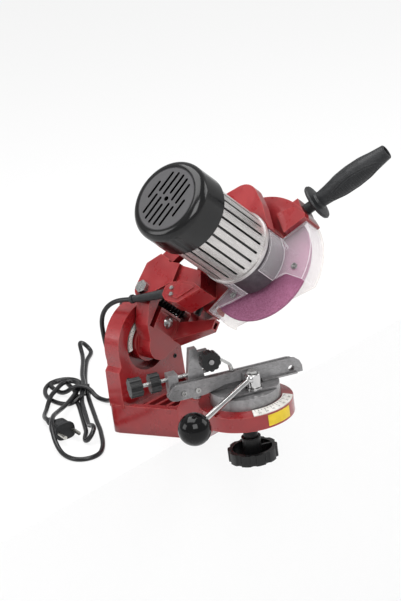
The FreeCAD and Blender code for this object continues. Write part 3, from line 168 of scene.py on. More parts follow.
def addNode(tree, kind, values=None, **options):
    # One shader node; its options by name are set before its inputs.
    node = tree.nodes.new("ShaderNode" + kind)
    for option, value in options.items():
        setattr(node, option, value)
    return setInputs(tree, node, values)


def math2(tree, operation, first, second=0.0, clamp=False):
    # The named sum of two numbers.
    return addNode(tree, "Math", {0: first, 1: second}, operation=operation, use_clamp=clamp).outputs[0]


def vectors(tree, operation, first, second=None):
    # The named sum of two vectors, as a node.
    values = {0: first} if second is None else {0: first, 1: second}
    return addNode(tree, "VectorMath", values, operation=operation)


def ramp(tree, value, low, high, start=0.0, end=1.0):
    # Maps low..high to start..end and stops at both ends.
    return addNode(tree, "MapRange", {"Value": value, "From Min": low, "From Max": high, "To Min": start,
                                      "To Max": end}).outputs[0]


def mixTone(tree, share, first, second):
    # The first colour where the share is 0, the second where it is 1.
    return addNode(tree, "Mix", {0: share, 6: first, 7: second}, data_type="RGBA").outputs[2]


def newGroup(name, inputs, outputs):
    # An empty group with named sockets; returns its tree, its input node and its output node.
    tree = bpy.data.node_groups.new(name, "ShaderNodeTree")
    for label, kind, value in inputs:
        socket = tree.interface.new_socket(name=label, in_out="INPUT", socket_type="NodeSocket" + kind)
        socket.default_value = value
    for label in outputs:
        tree.interface.new_socket(name=label, in_out="OUTPUT", socket_type="NodeSocketFloat")
    return tree, tree.nodes.new("NodeGroupInput"), tree.nodes.new("NodeGroupOutput")


def useGroup(tree, group, values=None):
    # A group as one node, with its inputs set.
    return setInputs(tree, addNode(tree, "Group", node_tree=group), values)


grainSet = {"fine": (0.34, 0.66), "fineDetail": 3.0, "coarse": (0.38, 0.62), "coarseDetail": 4.0,
            "coarseShare": 0.09}


def makeGrain(look):
    # Fine and coarse noise of the object's own space. Size is the fine lump in metres, and the coarse noise
    # has its share of the fine one's scale.
    tree, start, end = newGroup("surfaceGrain", [
        ("Size", "Float", 0.001), ("Turn", "Vector", (0, 0, 0)), ("Stretch", "Vector", (1, 1, 1))],
        ["Fine", "Coarse", "Height"])
    place = addNode(tree, "TexCoord").outputs["Object"]
    turned = addNode(tree, "Mapping", {"Vector": place, "Rotation": start.outputs["Turn"]}).outputs[0]
    drawn = vectors(tree, "MULTIPLY", turned, start.outputs["Stretch"]).outputs[0]
    often = math2(tree, "DIVIDE", 1.0, start.outputs["Size"])
    seldom = math2(tree, "MULTIPLY", often, look["coarseShare"])
    fine, coarse = (addNode(tree, "TexNoise", {"Vector": at, "Scale": scale, "Detail": detail}).outputs["Fac"]
                    for at, scale, detail in ((drawn, often, look["fineDetail"]),
                                              (turned, seldom, look["coarseDetail"])))
    setInputs(tree, end, {"Fine": ramp(tree, fine, *look["fine"]), "Height": fine,
                          "Coarse": ramp(tree, coarse, *look["coarse"])})
    return tree


# ranges of the edge mask, and of the corner mask that lays painted shade in hollows
edgeAndShadeRanges = {"edge": (0.985, 0.86), "corner": (0.75, 0.15)}


def makeEdges(look):
    # Edge is 1 where the rounded normal leaves the true one, Corner is 1 where little sky is seen; the
    # finishes lay painted shade by Corner.
    tree, start, end = newGroup("edgeAndPaintedShadeMasks", [("Radius", "Float", 0.001), ("Reach", "Float", 0.02)],
                                ["Edge", "Corner"])
    soft = addNode(tree, "Bevel", {"Radius": start.outputs["Radius"]}, samples=4).outputs[0]
    true = addNode(tree, "NewGeometry").outputs["Normal"]
    same = vectors(tree, "DOT_PRODUCT", soft, true).outputs["Value"]
    sky = addNode(tree, "AmbientOcclusion", {"Distance": start.outputs["Reach"]}, samples=8).outputs["AO"]
    setInputs(tree, end, {"Edge": ramp(tree, same, *look["edge"]),
                          "Corner": ramp(tree, sky, *look["corner"])})
    return tree


def makeAxis():
    # Along is the distance on a line through Point, Distance is how far from that line.
    tree, start, end = newGroup("aboutAxis", [("Point", "Vector", (0, 0, 0)), ("Axis", "Vector", (0, 0, 1))],
                                ["Along", "Distance"])
    place = addNode(tree, "TexCoord").outputs["Object"]
    axis = start.outputs["Axis"]
    away = vectors(tree, "SUBTRACT", place, start.outputs["Point"]).outputs[0]
    across = vectors(tree, "CROSS_PRODUCT", away, axis).outputs[0]
    setInputs(tree, end, {"Along": vectors(tree, "DOT_PRODUCT", away, axis).outputs["Value"],
                          "Distance": vectors(tree, "LENGTH", across).outputs["Value"]})
    return tree


surfaceGrain, edgeAndPaintedShadeMasks, aboutAxis = makeGrain(grainSet), makeEdges(edgeAndShadeRanges), makeAxis()

# the head's lean in degrees, the hinge's height, and the wheel's distance from the hinge and along it, in mm
headSet = {"tilt": 43, "hinge": 103, "reach": 121.4, "along": -118.7}
headTilt = math.radians(headSet["tilt"])
wheelAxis = (math.cos(headTilt), 0, -math.sin(headTilt))
wheelCentre = (headSet["reach"] * mm * math.sin(headTilt), headSet["along"] * mm,
               (headSet["hinge"] + headSet["reach"] * math.cos(headTilt)) * mm)
headTurn = (0, -headTilt, 0)  # turns the frame of the head back upright


def emptyTree(block):
    # The node tree of a material or a world, cleared.
    block.use_nodes = True
    block.node_tree.nodes.clear()
    return block.node_tree


def newMaterial(name):
    # A material with one principled shader; returns it, its tree and the shader.
    material = bpy.data.materials.new(name)
    tree = emptyTree(material)
    shader = addNode(tree, "BsdfPrincipled")
    addNode(tree, "OutputMaterial", {0: shader.outputs[0]})
    return material, tree, shader


def grainOf(tree, size, **options):
    # The grain at a lump size in mm.
    return useGroup(tree, surfaceGrain, {"Size": size * mm, **options}).outputs


def edgesOf(tree, look):
    # Edges, and corners for painted shade, with the look's edge radius and the painted shade's reach in mm.
    radius, reach = look["edgeRadius"] * mm, look["reach"] * mm
    return useGroup(tree, edgeAndPaintedShadeMasks, {"Radius": radius, "Reach": reach}).outputs


def wheelSpace(tree):
    # Distances along the wheel's axis and from it.
    return useGroup(tree, aboutAxis, {"Point": wheelCentre, "Axis": wheelAxis}).outputs


def raiseSurface(tree, shader, height, strength, depth):
    # A bump from a height; depth is in mm.
    bump = addNode(tree, "Bump", {"Height": height, "Strength": strength, "Distance": depth * mm})
    tree.links.new(bump.outputs[0], shader.inputs["Normal"])


# cornerShare and reach set the painted shade in hollows; edgeShare sets the paler edges, part wear and part
# painted highlight
plainSet = {"turn": (0, 0, 0), "stretch": (1, 1, 1), "coarseShare": 0.6, "fineShare": 0.4, "edgeRadius": 0.5,
            "reach": 12, "cornerShare": 0.7, "edgeShare": 0.5, "metallic": 0, "ior": 1.5, "depthShare": 0.5}


def plainFinish(name, own):
    # Two tones mixed by the coarse and fine grain, with painted shade darkening the corners and paler edges
    # that are partly wear and partly a painted highlight, with roughness and height by the fine grain; turn
    # and stretch draw the grain out into brush lines. What a look leaves out comes from plainSet.
    look = {**plainSet, **own}
    material, tree, shader = newMaterial(name)
    grain = grainOf(tree, look["grain"], Turn=look["turn"], Stretch=look["stretch"])
    edges = edgesOf(tree, look)
    coarse = math2(tree, "MULTIPLY", grain["Coarse"], look["coarseShare"])
    blend = math2(tree, "ADD", coarse, math2(tree, "MULTIPLY", grain["Fine"], look["fineShare"]))
    body = mixTone(tree, blend, tone(*look["tone"]), tone(*look["second"]))
    # corner lays painted shade in hollows; edge pales the edges, partly as wear and partly as a painted
    # highlight
    for part in ("corner", "edge"):
        share = math2(tree, "MULTIPLY", edges[part.title()], look[part + "Share"])
        body = mixTone(tree, share, body, tone(*look[part]))
    setInputs(tree, shader, {"Base Color": body, "Roughness": ramp(tree, grain["Fine"], 0, 1, *look["rough"]),
                             "Metallic": look["metallic"], "IOR": look["ior"]})
    raiseSurface(tree, shader, grain["Height"], look["lift"], look["grain"] * look["depthShare"])
    return material

# in each look, corner is the colour of the painted shade in hollows, and edge the paler edge colour, part
# wear and part painted highlight
finishes = {
    "castGrey": {"tone": (98, 93, 98), "second": (78, 73, 78), "corner": (24, 20, 22),
                 "edge": (140, 134, 138),
                 "rough": (0.38, 0.6), "metallic": 0.7, "grain": 0.9, "lift": 0.5},
    "flangeAlloy": {"tone": (206, 202, 202), "second": (182, 178, 178), "corner": (70, 66, 68),
                    "edge": (238, 235, 235), "rough": (0.24, 0.4), "metallic": 0.6, "grain": 0.5,
                    "lift": 0.2},
    "brightSteel": {"tone": (196, 196, 194), "second": (160, 160, 160), "corner": (60, 58, 56),
                    "edge": (236, 236, 234), "rough": (0.18, 0.36), "metallic": 1, "grain": 0.35,
                    "lift": 0.15, "stretch": (1, 0.12, 1), "turn": headTurn},
    "springSteel": {"tone": (44, 42, 42), "second": (24, 23, 24), "corner": (6, 6, 6), "edge": (90, 88, 86),
                    "rough": (0.3, 0.5), "metallic": 0.8, "grain": 0.4, "lift": 0.2},
    "blackSteel": {"tone": (40, 39, 40), "second": (24, 24, 25), "corner": (8, 8, 8), "edge": (112, 110, 108),
                   "rough": (0.3, 0.48), "metallic": 0.7, "grain": 0.5, "lift": 0.25},
    "zincSteel": {"tone": (156, 155, 156), "second": (132, 131, 132), "corner": (46, 44, 44),
                  "edge": (240, 237, 236), "rough": (0.26, 0.4), "metallic": 0.65, "grain": 0.4, "lift": 0.1,
                  "stretch": (0.06, 1, 1), "turn": (0, 0, math.radians(30))},
    "chromeRod": {"tone": (214, 213, 212), "second": (190, 190, 190), "corner": (70, 68, 68),
                  "edge": (248, 248, 247), "rough": (0.06, 0.14), "metallic": 1, "grain": 0.6, "lift": 0.05},
    "platedPin": {"tone": (206, 204, 198), "second": (178, 176, 170), "corner": (70, 68, 64),
                  "edge": (240, 238, 232), "rough": (0.16, 0.32), "metallic": 1, "grain": 0.4, "lift": 0.1},
    "knobPlastic": {"tone": (22, 22, 23), "second": (15, 15, 16), "corner": (4, 4, 4), "edge": (74, 75, 77),
                    "rough": (0.24, 0.38), "grain": 0.35, "lift": 0.25, "edgeShare": 0.35, "ior": 1.4},
    "gripRubber": {"tone": (34, 35, 37), "second": (24, 25, 27), "corner": (4, 4, 5), "edge": (70, 71, 73),
                   "rough": (0.36, 0.52), "grain": 0.45, "lift": 0.4, "edgeShare": 0.4, "ior": 1.42},
    "cordRubber": {"tone": (22, 22, 24), "second": (15, 15, 17), "corner": (3, 3, 3), "edge": (40, 40, 42),
                   "rough": (0.24, 0.36), "grain": 0.5, "lift": 0.15, "edgeShare": 0.15, "ior": 1.45},
    "ballGloss": {"tone": (10, 10, 11), "second": (7, 7, 8), "corner": (3, 3, 3), "edge": (20, 20, 21),
                  "rough": (0.07, 0.12), "grain": 0.8, "lift": 0.02, "ior": 1.33},
    "yellowSheet": {"tone": (226, 196, 34), "second": (206, 176, 22), "corner": (120, 96, 12),
                    "edge": (244, 226, 120), "rough": (0.28, 0.4), "grain": 0.8, "lift": 0.08},
    "scaleInk": {"tone": (26, 24, 26), "second": (38, 36, 38), "corner": (12, 12, 12), "edge": (60, 58, 60),
                 "rough": (0.4, 0.5), "grain": 0.6, "lift": 0.05},
}
looks = {name: plainFinish(name, look) for name, look in finishes.items()}

# corner is the painted shade in hollows, reach how far that shade looks for cover, and edge the painted
# highlight along edges
enamelSet = {"deep": (126, 14, 20), "plain": (146, 22, 27), "faded": (168, 46, 44), "corner": (44, 4, 7),
             "edge": (214, 96, 86), "drift": 26.0, "peel": 1.6, "lift": 0.12, "depth": 0.4, "edgeRadius": 1.1,
             "reach": 30, "fadedShare": 0.12, "cornerShare": 0.8, "edgeShare": 0.55, "rough": (0.26, 0.4),
             "coat": 0.55, "coatRough": 0.12}


def redEnamel(name, look):
    # Sprayed enamel: a slow drift between two reds, faded specks, painted shade in the corners, a painted
    # highlight on the edges, and an orange-peel height under a coat.
    material, tree, shader = newMaterial(name)
    grain, edges = grainOf(tree, look["peel"]), edgesOf(tree, look)
    drift = addNode(tree, "TexNoise", {"Vector": addNode(tree, "TexCoord").outputs["Object"],
                                       "Scale": look["drift"], "Detail": 3.0}).outputs["Fac"]
    body = mixTone(tree, ramp(tree, drift, 0.2, 0.8), tone(*look["deep"]), tone(*look["plain"]))
    # faded specks, then painted shade in hollows and a painted highlight along edges
    for part, cover in (("faded", ramp(tree, grain["Coarse"], 0.7, 1)), ("corner", edges["Corner"]),
                        ("edge", edges["Edge"])):
        body = mixTone(tree, math2(tree, "MULTIPLY", cover, look[part + "Share"]), body, tone(*look[part]))
    setInputs(tree, shader, {"Base Color": body,
                             "Roughness": ramp(tree, grain["Coarse"], 0, 1, *look["rough"]),
                             "Coat Weight": look["coat"], "Coat Roughness": look["coatRough"]})
    raiseSurface(tree, shader, grain["Height"], look["lift"], look["depth"])
    return material


looks["redEnamel"] = redEnamel("redEnamel", enamelSet)

motorSet = {"bare": (214, 211, 209), "drawn": (188, 185, 184), "groove": (16, 15, 15), "radius": 45.5,
            "sunk": (0.35, 1.1), "grain": 0.6, "stretch": (0.03, 1, 1), "metallic": (0.75, 0.05),
            "rough": (0.22, 0.36), "lift": 0.12, "depth": 0.2}


def motorAlloy(name, look):
    # Extruded alloy: bright on the outer radius, black below it, with faint lines drawn along the axis.
    material, tree, shader = newMaterial(name)
    grain = grainOf(tree, look["grain"], Turn=headTurn, Stretch=look["stretch"])
    sunk = ramp(tree, wheelSpace(tree)["Distance"], *((look["radius"] - drop) * mm for drop in look["sunk"]))
    metal = mixTone(tree, grain["Fine"], tone(*look["bare"]), tone(*look["drawn"]))
    setInputs(tree, shader, {"Base Color": mixTone(tree, sunk, metal, tone(*look["groove"])),
                             "Metallic": ramp(tree, sunk, 0, 1, *look["metallic"]),
                             "Roughness": ramp(tree, grain["Fine"], 0, 1, *look["rough"])})
    raiseSurface(tree, shader, grain["Height"], look["lift"], look["depth"])
    return material


looks["motorAlloy"] = motorAlloy("motorAlloy", motorSet)

# face is the painted highlight on the flat end; corner is the painted shade in hollows
capSet = {"side": (14, 14, 15), "scuff": (30, 30, 31), "face": (108, 107, 109), "corner": (5, 5, 5),
          "faceStart": 196.5, "faceRadius": (40.5, 38.5), "scuffShare": 0.25, "grain": 0.7, "edgeRadius": 0.6,
          "reach": 10, "rough": (0.16, 0.46), "ior": 1.42, "lift": 0.1, "depth": 0.2}


def capPlastic(name, look):
    # Moulded black: glossy round the side, a paler disc on the flat end painted in as the highlight where
    # light falls on it, and painted shade in hollows.
    material, tree, shader = newMaterial(name)
    grain, edges, around = grainOf(tree, look["grain"]), edgesOf(tree, look), wheelSpace(tree)
    outward = math2(tree, "MULTIPLY", around["Along"], -1)
    flat = ramp(tree, outward, look["faceStart"] * mm, (look["faceStart"] + 1) * mm)
    inside = ramp(tree, around["Distance"], *(radius * mm for radius in look["faceRadius"]))
    face = math2(tree, "MULTIPLY", flat, inside)
    scuff = math2(tree, "MULTIPLY", grain["Coarse"], look["scuffShare"])
    # side tone with scuffs, lightened on the end disc as a painted highlight
    body = mixTone(tree, face, mixTone(tree, scuff, tone(*look["side"]), tone(*look["scuff"])),
                   tone(*look["face"]))
    setInputs(tree, shader, {"Base Color": mixTone(tree, edges["Corner"], body, tone(*look["corner"])),
                             "Roughness": ramp(tree, face, 0, 1, *look["rough"]), "IOR": look["ior"]})
    raiseSurface(tree, shader, grain["Height"], look["lift"], look["depth"])
    return material


looks["capPlastic"] = capPlastic("capPlastic", capSet)

wheelSet = {"bond": (142, 74, 110), "pale": (176, 118, 148), "dark": (100, 46, 76), "grit": 0.55,
            "rings": 2600, "ringShare": 0.12, "rough": (0.7, 0.95), "lift": 0.6, "depth": 0.3}


def abrasiveWheel(name, look):
    # Bonded grit: small cells in three tones with faint turned rings, rough and pitted.
    material, tree, shader = newMaterial(name)
    place = addNode(tree, "TexCoord").outputs["Object"]
    cell = addNode(tree, "TexVoronoi", {"Vector": place, "Scale": 1 / (look["grit"] * mm)}).outputs
    rings = math2(tree, "SINE", math2(tree, "MULTIPLY", wheelSpace(tree)["Distance"], look["rings"]))
    shade = addNode(tree, "SeparateColor", {0: cell["Color"]}).outputs[0]
    body = mixTone(tree, ramp(tree, shade, 0.2, 0.9), tone(*look["bond"]), tone(*look["pale"]))
    for cover in (ramp(tree, shade, 0.22, 0.02), ramp(tree, rings, -1, 1, 0, look["ringShare"])):
        body = mixTone(tree, cover, body, tone(*look["dark"]))
    setInputs(tree, shader, {"Base Color": body, "Roughness": ramp(tree, shade, 0, 1, *look["rough"])})
    raiseSurface(tree, shader, cell["Distance"], look["lift"], look["depth"])
    return material


looks["abrasiveWheel"] = abrasiveWheel("abrasiveWheel", wheelSet)

# the two guards: least is the cover face on, most the cover at a grazing angle, where it is painted
# reflection; rim is a painted highlight along edges
guardSet = {"body": (246, 240, 245), "least": 0.12, "most": 0.8, "haze": (0.04, 0.16), "rim": 0.85,
            "grain": 4, "edgeRadius": 0.9, "reach": 10, "falloff": 3.0, "coatRough": 0.03}
plateGuardSet = {**guardSet, "body": (238, 228, 220), "least": 0.2, "most": 0.85, "haze": (0.06, 0.2)}


def clearGuard(name, look):
    # Clear moulding: nearly all see-through face on, whitened as painted reflection at grazing angles and as
    # a painted highlight along rims, with faint scuffs.
    material, tree, shader = newMaterial(name)
    grain, edges = grainOf(tree, look["grain"]), edgesOf(tree, look)
    facing = addNode(tree, "LayerWeight", {"Blend": 0.5}).outputs["Facing"]
    # grazing angles whiten the cover, a painted reflection
    grazing = math2(tree, "POWER", facing, look["falloff"])
    cover = ramp(tree, grazing, 0, 1, look["least"], look["most"])
    # rims whiten as a painted highlight
    rim = math2(tree, "MULTIPLY", edges["Edge"], look["rim"])
    setInputs(tree, shader, {"Base Color": tone(*look["body"]),
                             "Alpha": math2(tree, "ADD", cover, rim, clamp=True),
                             "Roughness": ramp(tree, grain["Coarse"], 0, 1, *look["haze"]), "Coat Weight": 1,
                             "Coat Roughness": look["coatRough"]})
    return material


looks["clearGuard"] = clearGuard("clearGuard", guardSet)
looks["creamGuard"] = clearGuard("creamGuard", plateGuardSet)

# corner is the painted shade in hollows round the plate
plateSet = {"white": (226, 224, 220), "soiled": (196, 192, 184), "edge": (150, 148, 146),
            "corner": (110, 92, 88), "soiledShare": 0.6, "grain": 1.2, "edgeRadius": 0.5, "reach": 8,
            "rough": (0.3, 0.42), "lift": 0.08, "depth": 0.1}


def scalePlate(name, look):
    # Printed sheet: satin white with soiled patches, a bare edge, and painted shade in the corners.
    material, tree, shader = newMaterial(name)
    grain, edges = grainOf(tree, look["grain"]), edgesOf(tree, look)
    soiled = math2(tree, "MULTIPLY", grain["Coarse"], look["soiledShare"])
    body = mixTone(tree, soiled, tone(*look["white"]), tone(*look["soiled"]))
    body = mixTone(tree, edges["Edge"], body, tone(*look["edge"]))
    # painted shade in hollows
    setInputs(tree, shader, {"Base Color": mixTone(tree, edges["Corner"], body, tone(*look["corner"])),
                             "Roughness": ramp(tree, grain["Fine"], 0, 1, *look["rough"])})
    raiseSurface(tree, shader, grain["Height"], look["lift"], look["depth"])
    return material


looks["scalePlate"] = scalePlate("scalePlate", plateSet)

ironSet = {"sheet": (104, 98, 92), "gap": (38, 34, 32), "pitch": 0.9, "edge": (-0.6, 0.2),
           "rough": (0.6, 0.4), "metallic": 0.8, "lift": 0.3, "depth": 0.2}


def laminatedIron(name, look):
    # A stack of thin sheets: dark lines square to the motor's axis.
    material, tree, shader = newMaterial(name)
    waves = math2(tree, "MULTIPLY", wheelSpace(tree)["Along"], 2 * math.pi / (look["pitch"] * mm))
    sheet = ramp(tree, math2(tree, "SINE", waves), *look["edge"])
    setInputs(tree, shader, {"Base Color": mixTone(tree, sheet, tone(*look["gap"]), tone(*look["sheet"])),
                             "Roughness": ramp(tree, sheet, 0, 1, *look["rough"]),
                             "Metallic": look["metallic"]})
    raiseSurface(tree, shader, sheet, look["lift"], look["depth"])
    return material


looks["laminatedIron"] = laminatedIron("laminatedIron", ironSet)

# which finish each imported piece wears
dressed = {
    "redEnamel": ["base_casting", "tilt_bracket", "head_casting", "switch_box", "switch_box_cover"],
    "scalePlate": ["tilt_scale", "vise_scale"],
    "blackSteel": ["column_screws", "lock_spacer"],
    "springSteel": ["return_spring"],
    "brightSteel": ["tilt_stud", "tilt_lock_bolt", "tilt_lock_washer", "chop_axle", "rotor", "spindle",
                    "spindle_bearings", "inner_flange", "outer_flange", "spindle_nut", "guard_screws",
                    "cover_screws", "handle_stem", "jaw_screws", "clamp_pin", "stop_pawl", "adjusting_screw",
                    "vise_stud"],
    "knobPlastic": ["tilt_lock_knob", "depth_stop_screw", "pawl_knob", "adjusting_knob", "adjuster_lock_knob",
                    "lock_handwheel", "cooling_fan", "rocker_switch"],
    "castGrey": ["motor_front_bell", "rear_bearing_plate"],
    "flangeAlloy": ["motor_flange"],
    "motorAlloy": ["motor_housing"],
    "capPlastic": ["motor_end_cap"],
    "laminatedIron": ["stator"],
    "abrasiveWheel": ["grinding_wheel"],
    "clearGuard": ["clear_guard"],
    "creamGuard": ["outer_guard_plate"],
    "gripRubber": ["handle_grip", "strain_relief", "plug_body"],
    "zincSteel": ["vise_turntable", "fixed_rail", "clamping_rail", "chain_stop"],
    "chromeRod": ["clamp_lever"],
    "ballGloss": ["lever_ball"],
    "cordRubber": ["power_cord", "plug_cord", "cord_hank", "cord_tie"],
    "platedPin": ["plug_pins"],
}
for finish, names in dressed.items():
    for name in names:
        holder = nodes[name]
        holder.data.materials.clear()
        holder.data.materials.append(looks[finish])
mainsCord.data.materials.append(looks["cordRubber"])
print("finishes on")

# small pieces that the CAD leaves plain


creaseAngle = math.radians(40)


def makePiece(name, points, faces, body, finish):
    # A mesh from corner places and corner numbers, turned inside out if its volume comes out negative.
    first, second, third, fourth = (points[faces[:, k]] for k in range(4))
    volume = (np.einsum("ij,ij->i", first, np.cross(second, third)) +
              np.einsum("ij,ij->i", first, np.cross(third, fourth))).sum()
    mesh = bpy.data.meshes.new(name)
    mesh.from_pydata(points.tolist(), [], (faces if volume > 0 else faces[:, ::-1]).tolist())
    mesh.shade_smooth()
    mesh.set_sharp_from_angle(angle=creaseAngle)
    mesh.materials.append(looks[finish])
    piece = addObject(name, mesh)
    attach(piece, body)
    return piece


def meshOf(holder):
    # The finished mesh of an object, and the places of its corners.
    mesh = bpy.data.meshes.new_from_object(holder.evaluated_get(bpy.context.evaluated_depsgraph_get()))
    flat = np.empty(len(mesh.vertices) * 3)
    mesh.vertices.foreach_get("co", flat)
    return mesh, flat.reshape(-1, 3)


def loopFaces(runs, rings, corners, closed):
    # Four-sided faces between neighbouring rings of each run; a closed run also joins its last ring to its
    # first.
    run, ring, corner = np.meshgrid(np.arange(runs), np.arange(rings if closed else rings - 1),
                                    np.arange(corners), indexing="ij")
    here = (run * rings + ring) * corners
    there = (run * rings + (ring + 1) % rings) * corners
    beside = (corner + 1) % corners
    return np.stack([here + corner, here + beside, there + beside, there + corner], axis=-1).reshape(-1, 4)


def alongRuns(lines, normals, section, closed=False, taper=True):
    # Sets a closed section (side, height) square to each line; tapered runs shrink to a fiftieth at their
    # ends.
    ahead = np.roll(lines, -1, axis=1) - np.roll(lines, 1, axis=1) if closed else np.gradient(lines, axis=1)
    side = np.cross(ahead, normals)
    side /= np.linalg.norm(side, axis=2, keepdims=True)
    size = np.ones(lines.shape[1])
    if taper and not closed:
        size[[0, -1]] = 0.02
    shape = np.array(section) * mm
    points = (lines[:, :, None] + side[:, :, None] * shape[:, 0, None] * size[:, None, None] +
              normals[:, :, None] * shape[:, 1, None] * size[:, None, None])
    return points.reshape(-1, 3), loopFaces(lines.shape[0], lines.shape[1], len(section), closed)


def flatSection(half, sink, rise):
    # The four corners of a strip: half its width, its depth under the surface and its height over it.
    return [(-half, -sink), (-half, rise), (half, rise), (half, -sink)]


# moulded lines on the grip: two oval borders and a field of short ribs, on both sides
gripSet = {"root": (-2, -152.2, 197.4), "lean": 44, "middle": 76, "reach": (34, 40), "half": (0.72, 0.9),
           "borderSteps": 72, "pitch": 3.2, "ribSteps": 13, "ribEnds": (3, 2), "ribInset": 0.1,
           "facing": (-100, 80)}
gripRadius = [(24, 11), (27, 9.8), (38, 10.8), (58, 13.7), (76, 14.5), (94, 13.7), (114, 10.9), (127, 9.3)]
ridge = [(-0.7, -0.4), (-0.35, 0.35), (0, 0.5), (0.35, 0.35), (0.7, -0.4)]


def gripPlace(along, around):
    # A place on the grip and its outward direction, from the distance along the handle and the angle round
    # it: leaned off the head, then turned with the head about the hinge.
    stops = np.array(gripRadius, float)
    radius = np.interp(along, stops[:, 0], stops[:, 1])
    outward = np.stack([np.cos(around), np.sin(around), np.zeros_like(around)], axis=-1)
    local = outward * radius[..., None]
    local[..., 2] = along
    lean = math.radians(gripSet["lean"])
    tip = np.array([[1, 0, 0], [0, math.cos(lean), -math.sin(lean)], [0, math.sin(lean), math.cos(lean)]])
    turn = np.array([[math.cos(headTilt), 0, math.sin(headTilt)], [0, 1, 0],
                     [-math.sin(headTilt), 0, math.cos(headTilt)]])
    world = (local @ tip.T + np.array(gripSet["root"])) @ turn.T + np.array([0, 0, headSet["hinge"]])
    return world * mm, outward @ tip.T @ turn.T


turnSteps = np.linspace(0, 2 * np.pi, gripSet["borderSteps"], endpoint=False)
ovals = np.array([
    (gripSet["middle"] + reach * np.cos(turnSteps), math.radians(facing) + half * np.sin(turnSteps))
    for facing in gripSet["facing"] for reach, half in zip(gripSet["reach"], gripSet["half"])])
ovalLines, ovalNormals = gripPlace(ovals[:, 0], ovals[:, 1])
makePiece("grip_borders", *alongRuns(ovalLines, ovalNormals, ridge, True), "head", "gripRubber")
ribReach, ribWidest = gripSet["reach"][0], gripSet["half"][0] - gripSet["ribInset"]
ribStops = np.arange(-ribReach + gripSet["ribEnds"][0], ribReach - gripSet["ribEnds"][1], gripSet["pitch"])
ribHalf = ribWidest * np.sqrt(1 - (ribStops / ribReach) ** 2)
ribSteps = np.linspace(-1, 1, gripSet["ribSteps"])
ribAround = np.concatenate([math.radians(facing) + ribHalf[:, None] * ribSteps
                            for facing in gripSet["facing"]])
ribAlong = np.tile((gripSet["middle"] + ribStops)[:, None] + 0 * ribSteps, (len(gripSet["facing"]), 1))
ribLines, ribNormals = gripPlace(ribAlong, ribAround)
makePiece("grip_ribs", *alongRuns(ribLines, ribNormals, ridge), "head", "gripRubber")

# the bare yellow plate on the rim of the table
plateBend = {"centre": (0, -143, 43), "radius": 57.5, "turns": (-112, -76), "steps": 24, "half": 7,
             "sink": 0.3, "rise": 0.4}
plateTurns = np.radians(np.linspace(*plateBend["turns"], plateBend["steps"]))[None]
plateOut = np.stack([np.cos(plateTurns), np.sin(plateTurns), 0 * plateTurns], axis=-1)
plateLine = (plateOut * plateBend["radius"] + np.array(plateBend["centre"])) * mm
plateSection = flatSection(plateBend["half"], plateBend["sink"], plateBend["rise"])
makePiece("rim_plate", *alongRuns(plateLine, plateOut, plateSection, taper=False), "base", "yellowSheet")

# scale marks: short raised lines and plain numbers; "marks" holds where they start and end, and how much
# longer every second one is
viseScale = {"centre": (0, -143), "inner": 44.5, "top": 56.0, "fall": 0.23, "turns": range(-35, 36, 5),
             "marks": (46, 48.5, 2.0), "numbers": range(-30, 31, 10), "radius": 53.4, "size": 4.2}
tiltScale = {"centre": (0, headSet["hinge"]), "face": 13.5, "turns": range(-90, -29, 5),
             "marks": (27, 28.6, 1.0), "numbers": range(0, 61, 10), "zero": -30, "radius": 31.1, "size": 2.4}
markSet = {"half": 0.28, "sink": 0.15, "rise": 0.12, "lift": 0.02, "places": 3}
numberSet = {"extrude": 0.02, "lift": 0.03, "steps": 3}


def visePlace(turn, radius, lift):
    # A place on the sloping plate round the table, from the angle off straight ahead and the distance out.
    out = np.stack([np.sin(turn), -np.cos(turn)], axis=-1)
    level = viseScale["top"] - (radius - viseScale["inner"]) * viseScale["fall"] + lift
    flat = out * np.asarray(radius)[..., None] + np.array(viseScale["centre"])
    return np.concatenate([flat, np.broadcast_to(level, flat.shape[:-1])[..., None]], axis=-1) * mm


def tiltPlace(turn, radius, lift):
    # A place on the flat ring round the hinge, from the angle off upright and the distance out.
    across = np.sin(turn) * radius + tiltScale["centre"][0]
    rise = np.cos(turn) * radius + tiltScale["centre"][1]
    return np.stack([across, tiltScale["face"] - lift + 0 * across, rise], axis=-1) * mm


def markLines(place, scale):
    # Each mark as a few places outward along its angle; every second mark is longer.
    near, far, longer = scale["marks"]
    angles = np.radians(np.array(scale["turns"], float))[:, None]
    extra = np.where(np.arange(len(angles)) % 2 == 1, longer, 0.0)[:, None]
    radius = near + (far - near + extra) * np.linspace(0, 1, markSet["places"])
    return place(angles + 0 * radius, radius, markSet["lift"])


def placeNumbers(name, place, numbers, scale, outward, body):
    # Each number is a thin text mesh bent onto the scale: its width becomes an angle, and its height a
    # distance out, or inward where outward is -1.
    joined, count, corners = [], 0, []
    for degrees, label in numbers:
        letters = bpy.data.curves.new(name, "FONT")
        letters.body = label
        letters.size = scale["size"]
        letters.extrude = numberSet["extrude"]
        letters.align_x = "CENTER"
        letters.align_y = "CENTER"
        letters.resolution_u = numberSet["steps"]
        holder = addObject(name, letters)
        mesh, flat = meshOf(holder)
        joined.append(place(math.radians(degrees) + flat[:, 0] / scale["radius"],
                            scale["radius"] + outward * flat[:, 1], flat[:, 2] + numberSet["lift"]))
        corners += [[count + corner for corner in polygon.vertices] for polygon in mesh.polygons]
        count += len(flat)
        bpy.data.objects.remove(holder)
    numberMesh = bpy.data.meshes.new(name)
    numberMesh.from_pydata(np.concatenate(joined).tolist(), [], corners)
    numberMesh.materials.append(looks["scaleInk"])
    piece = addObject(name, numberMesh)
    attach(piece, body)


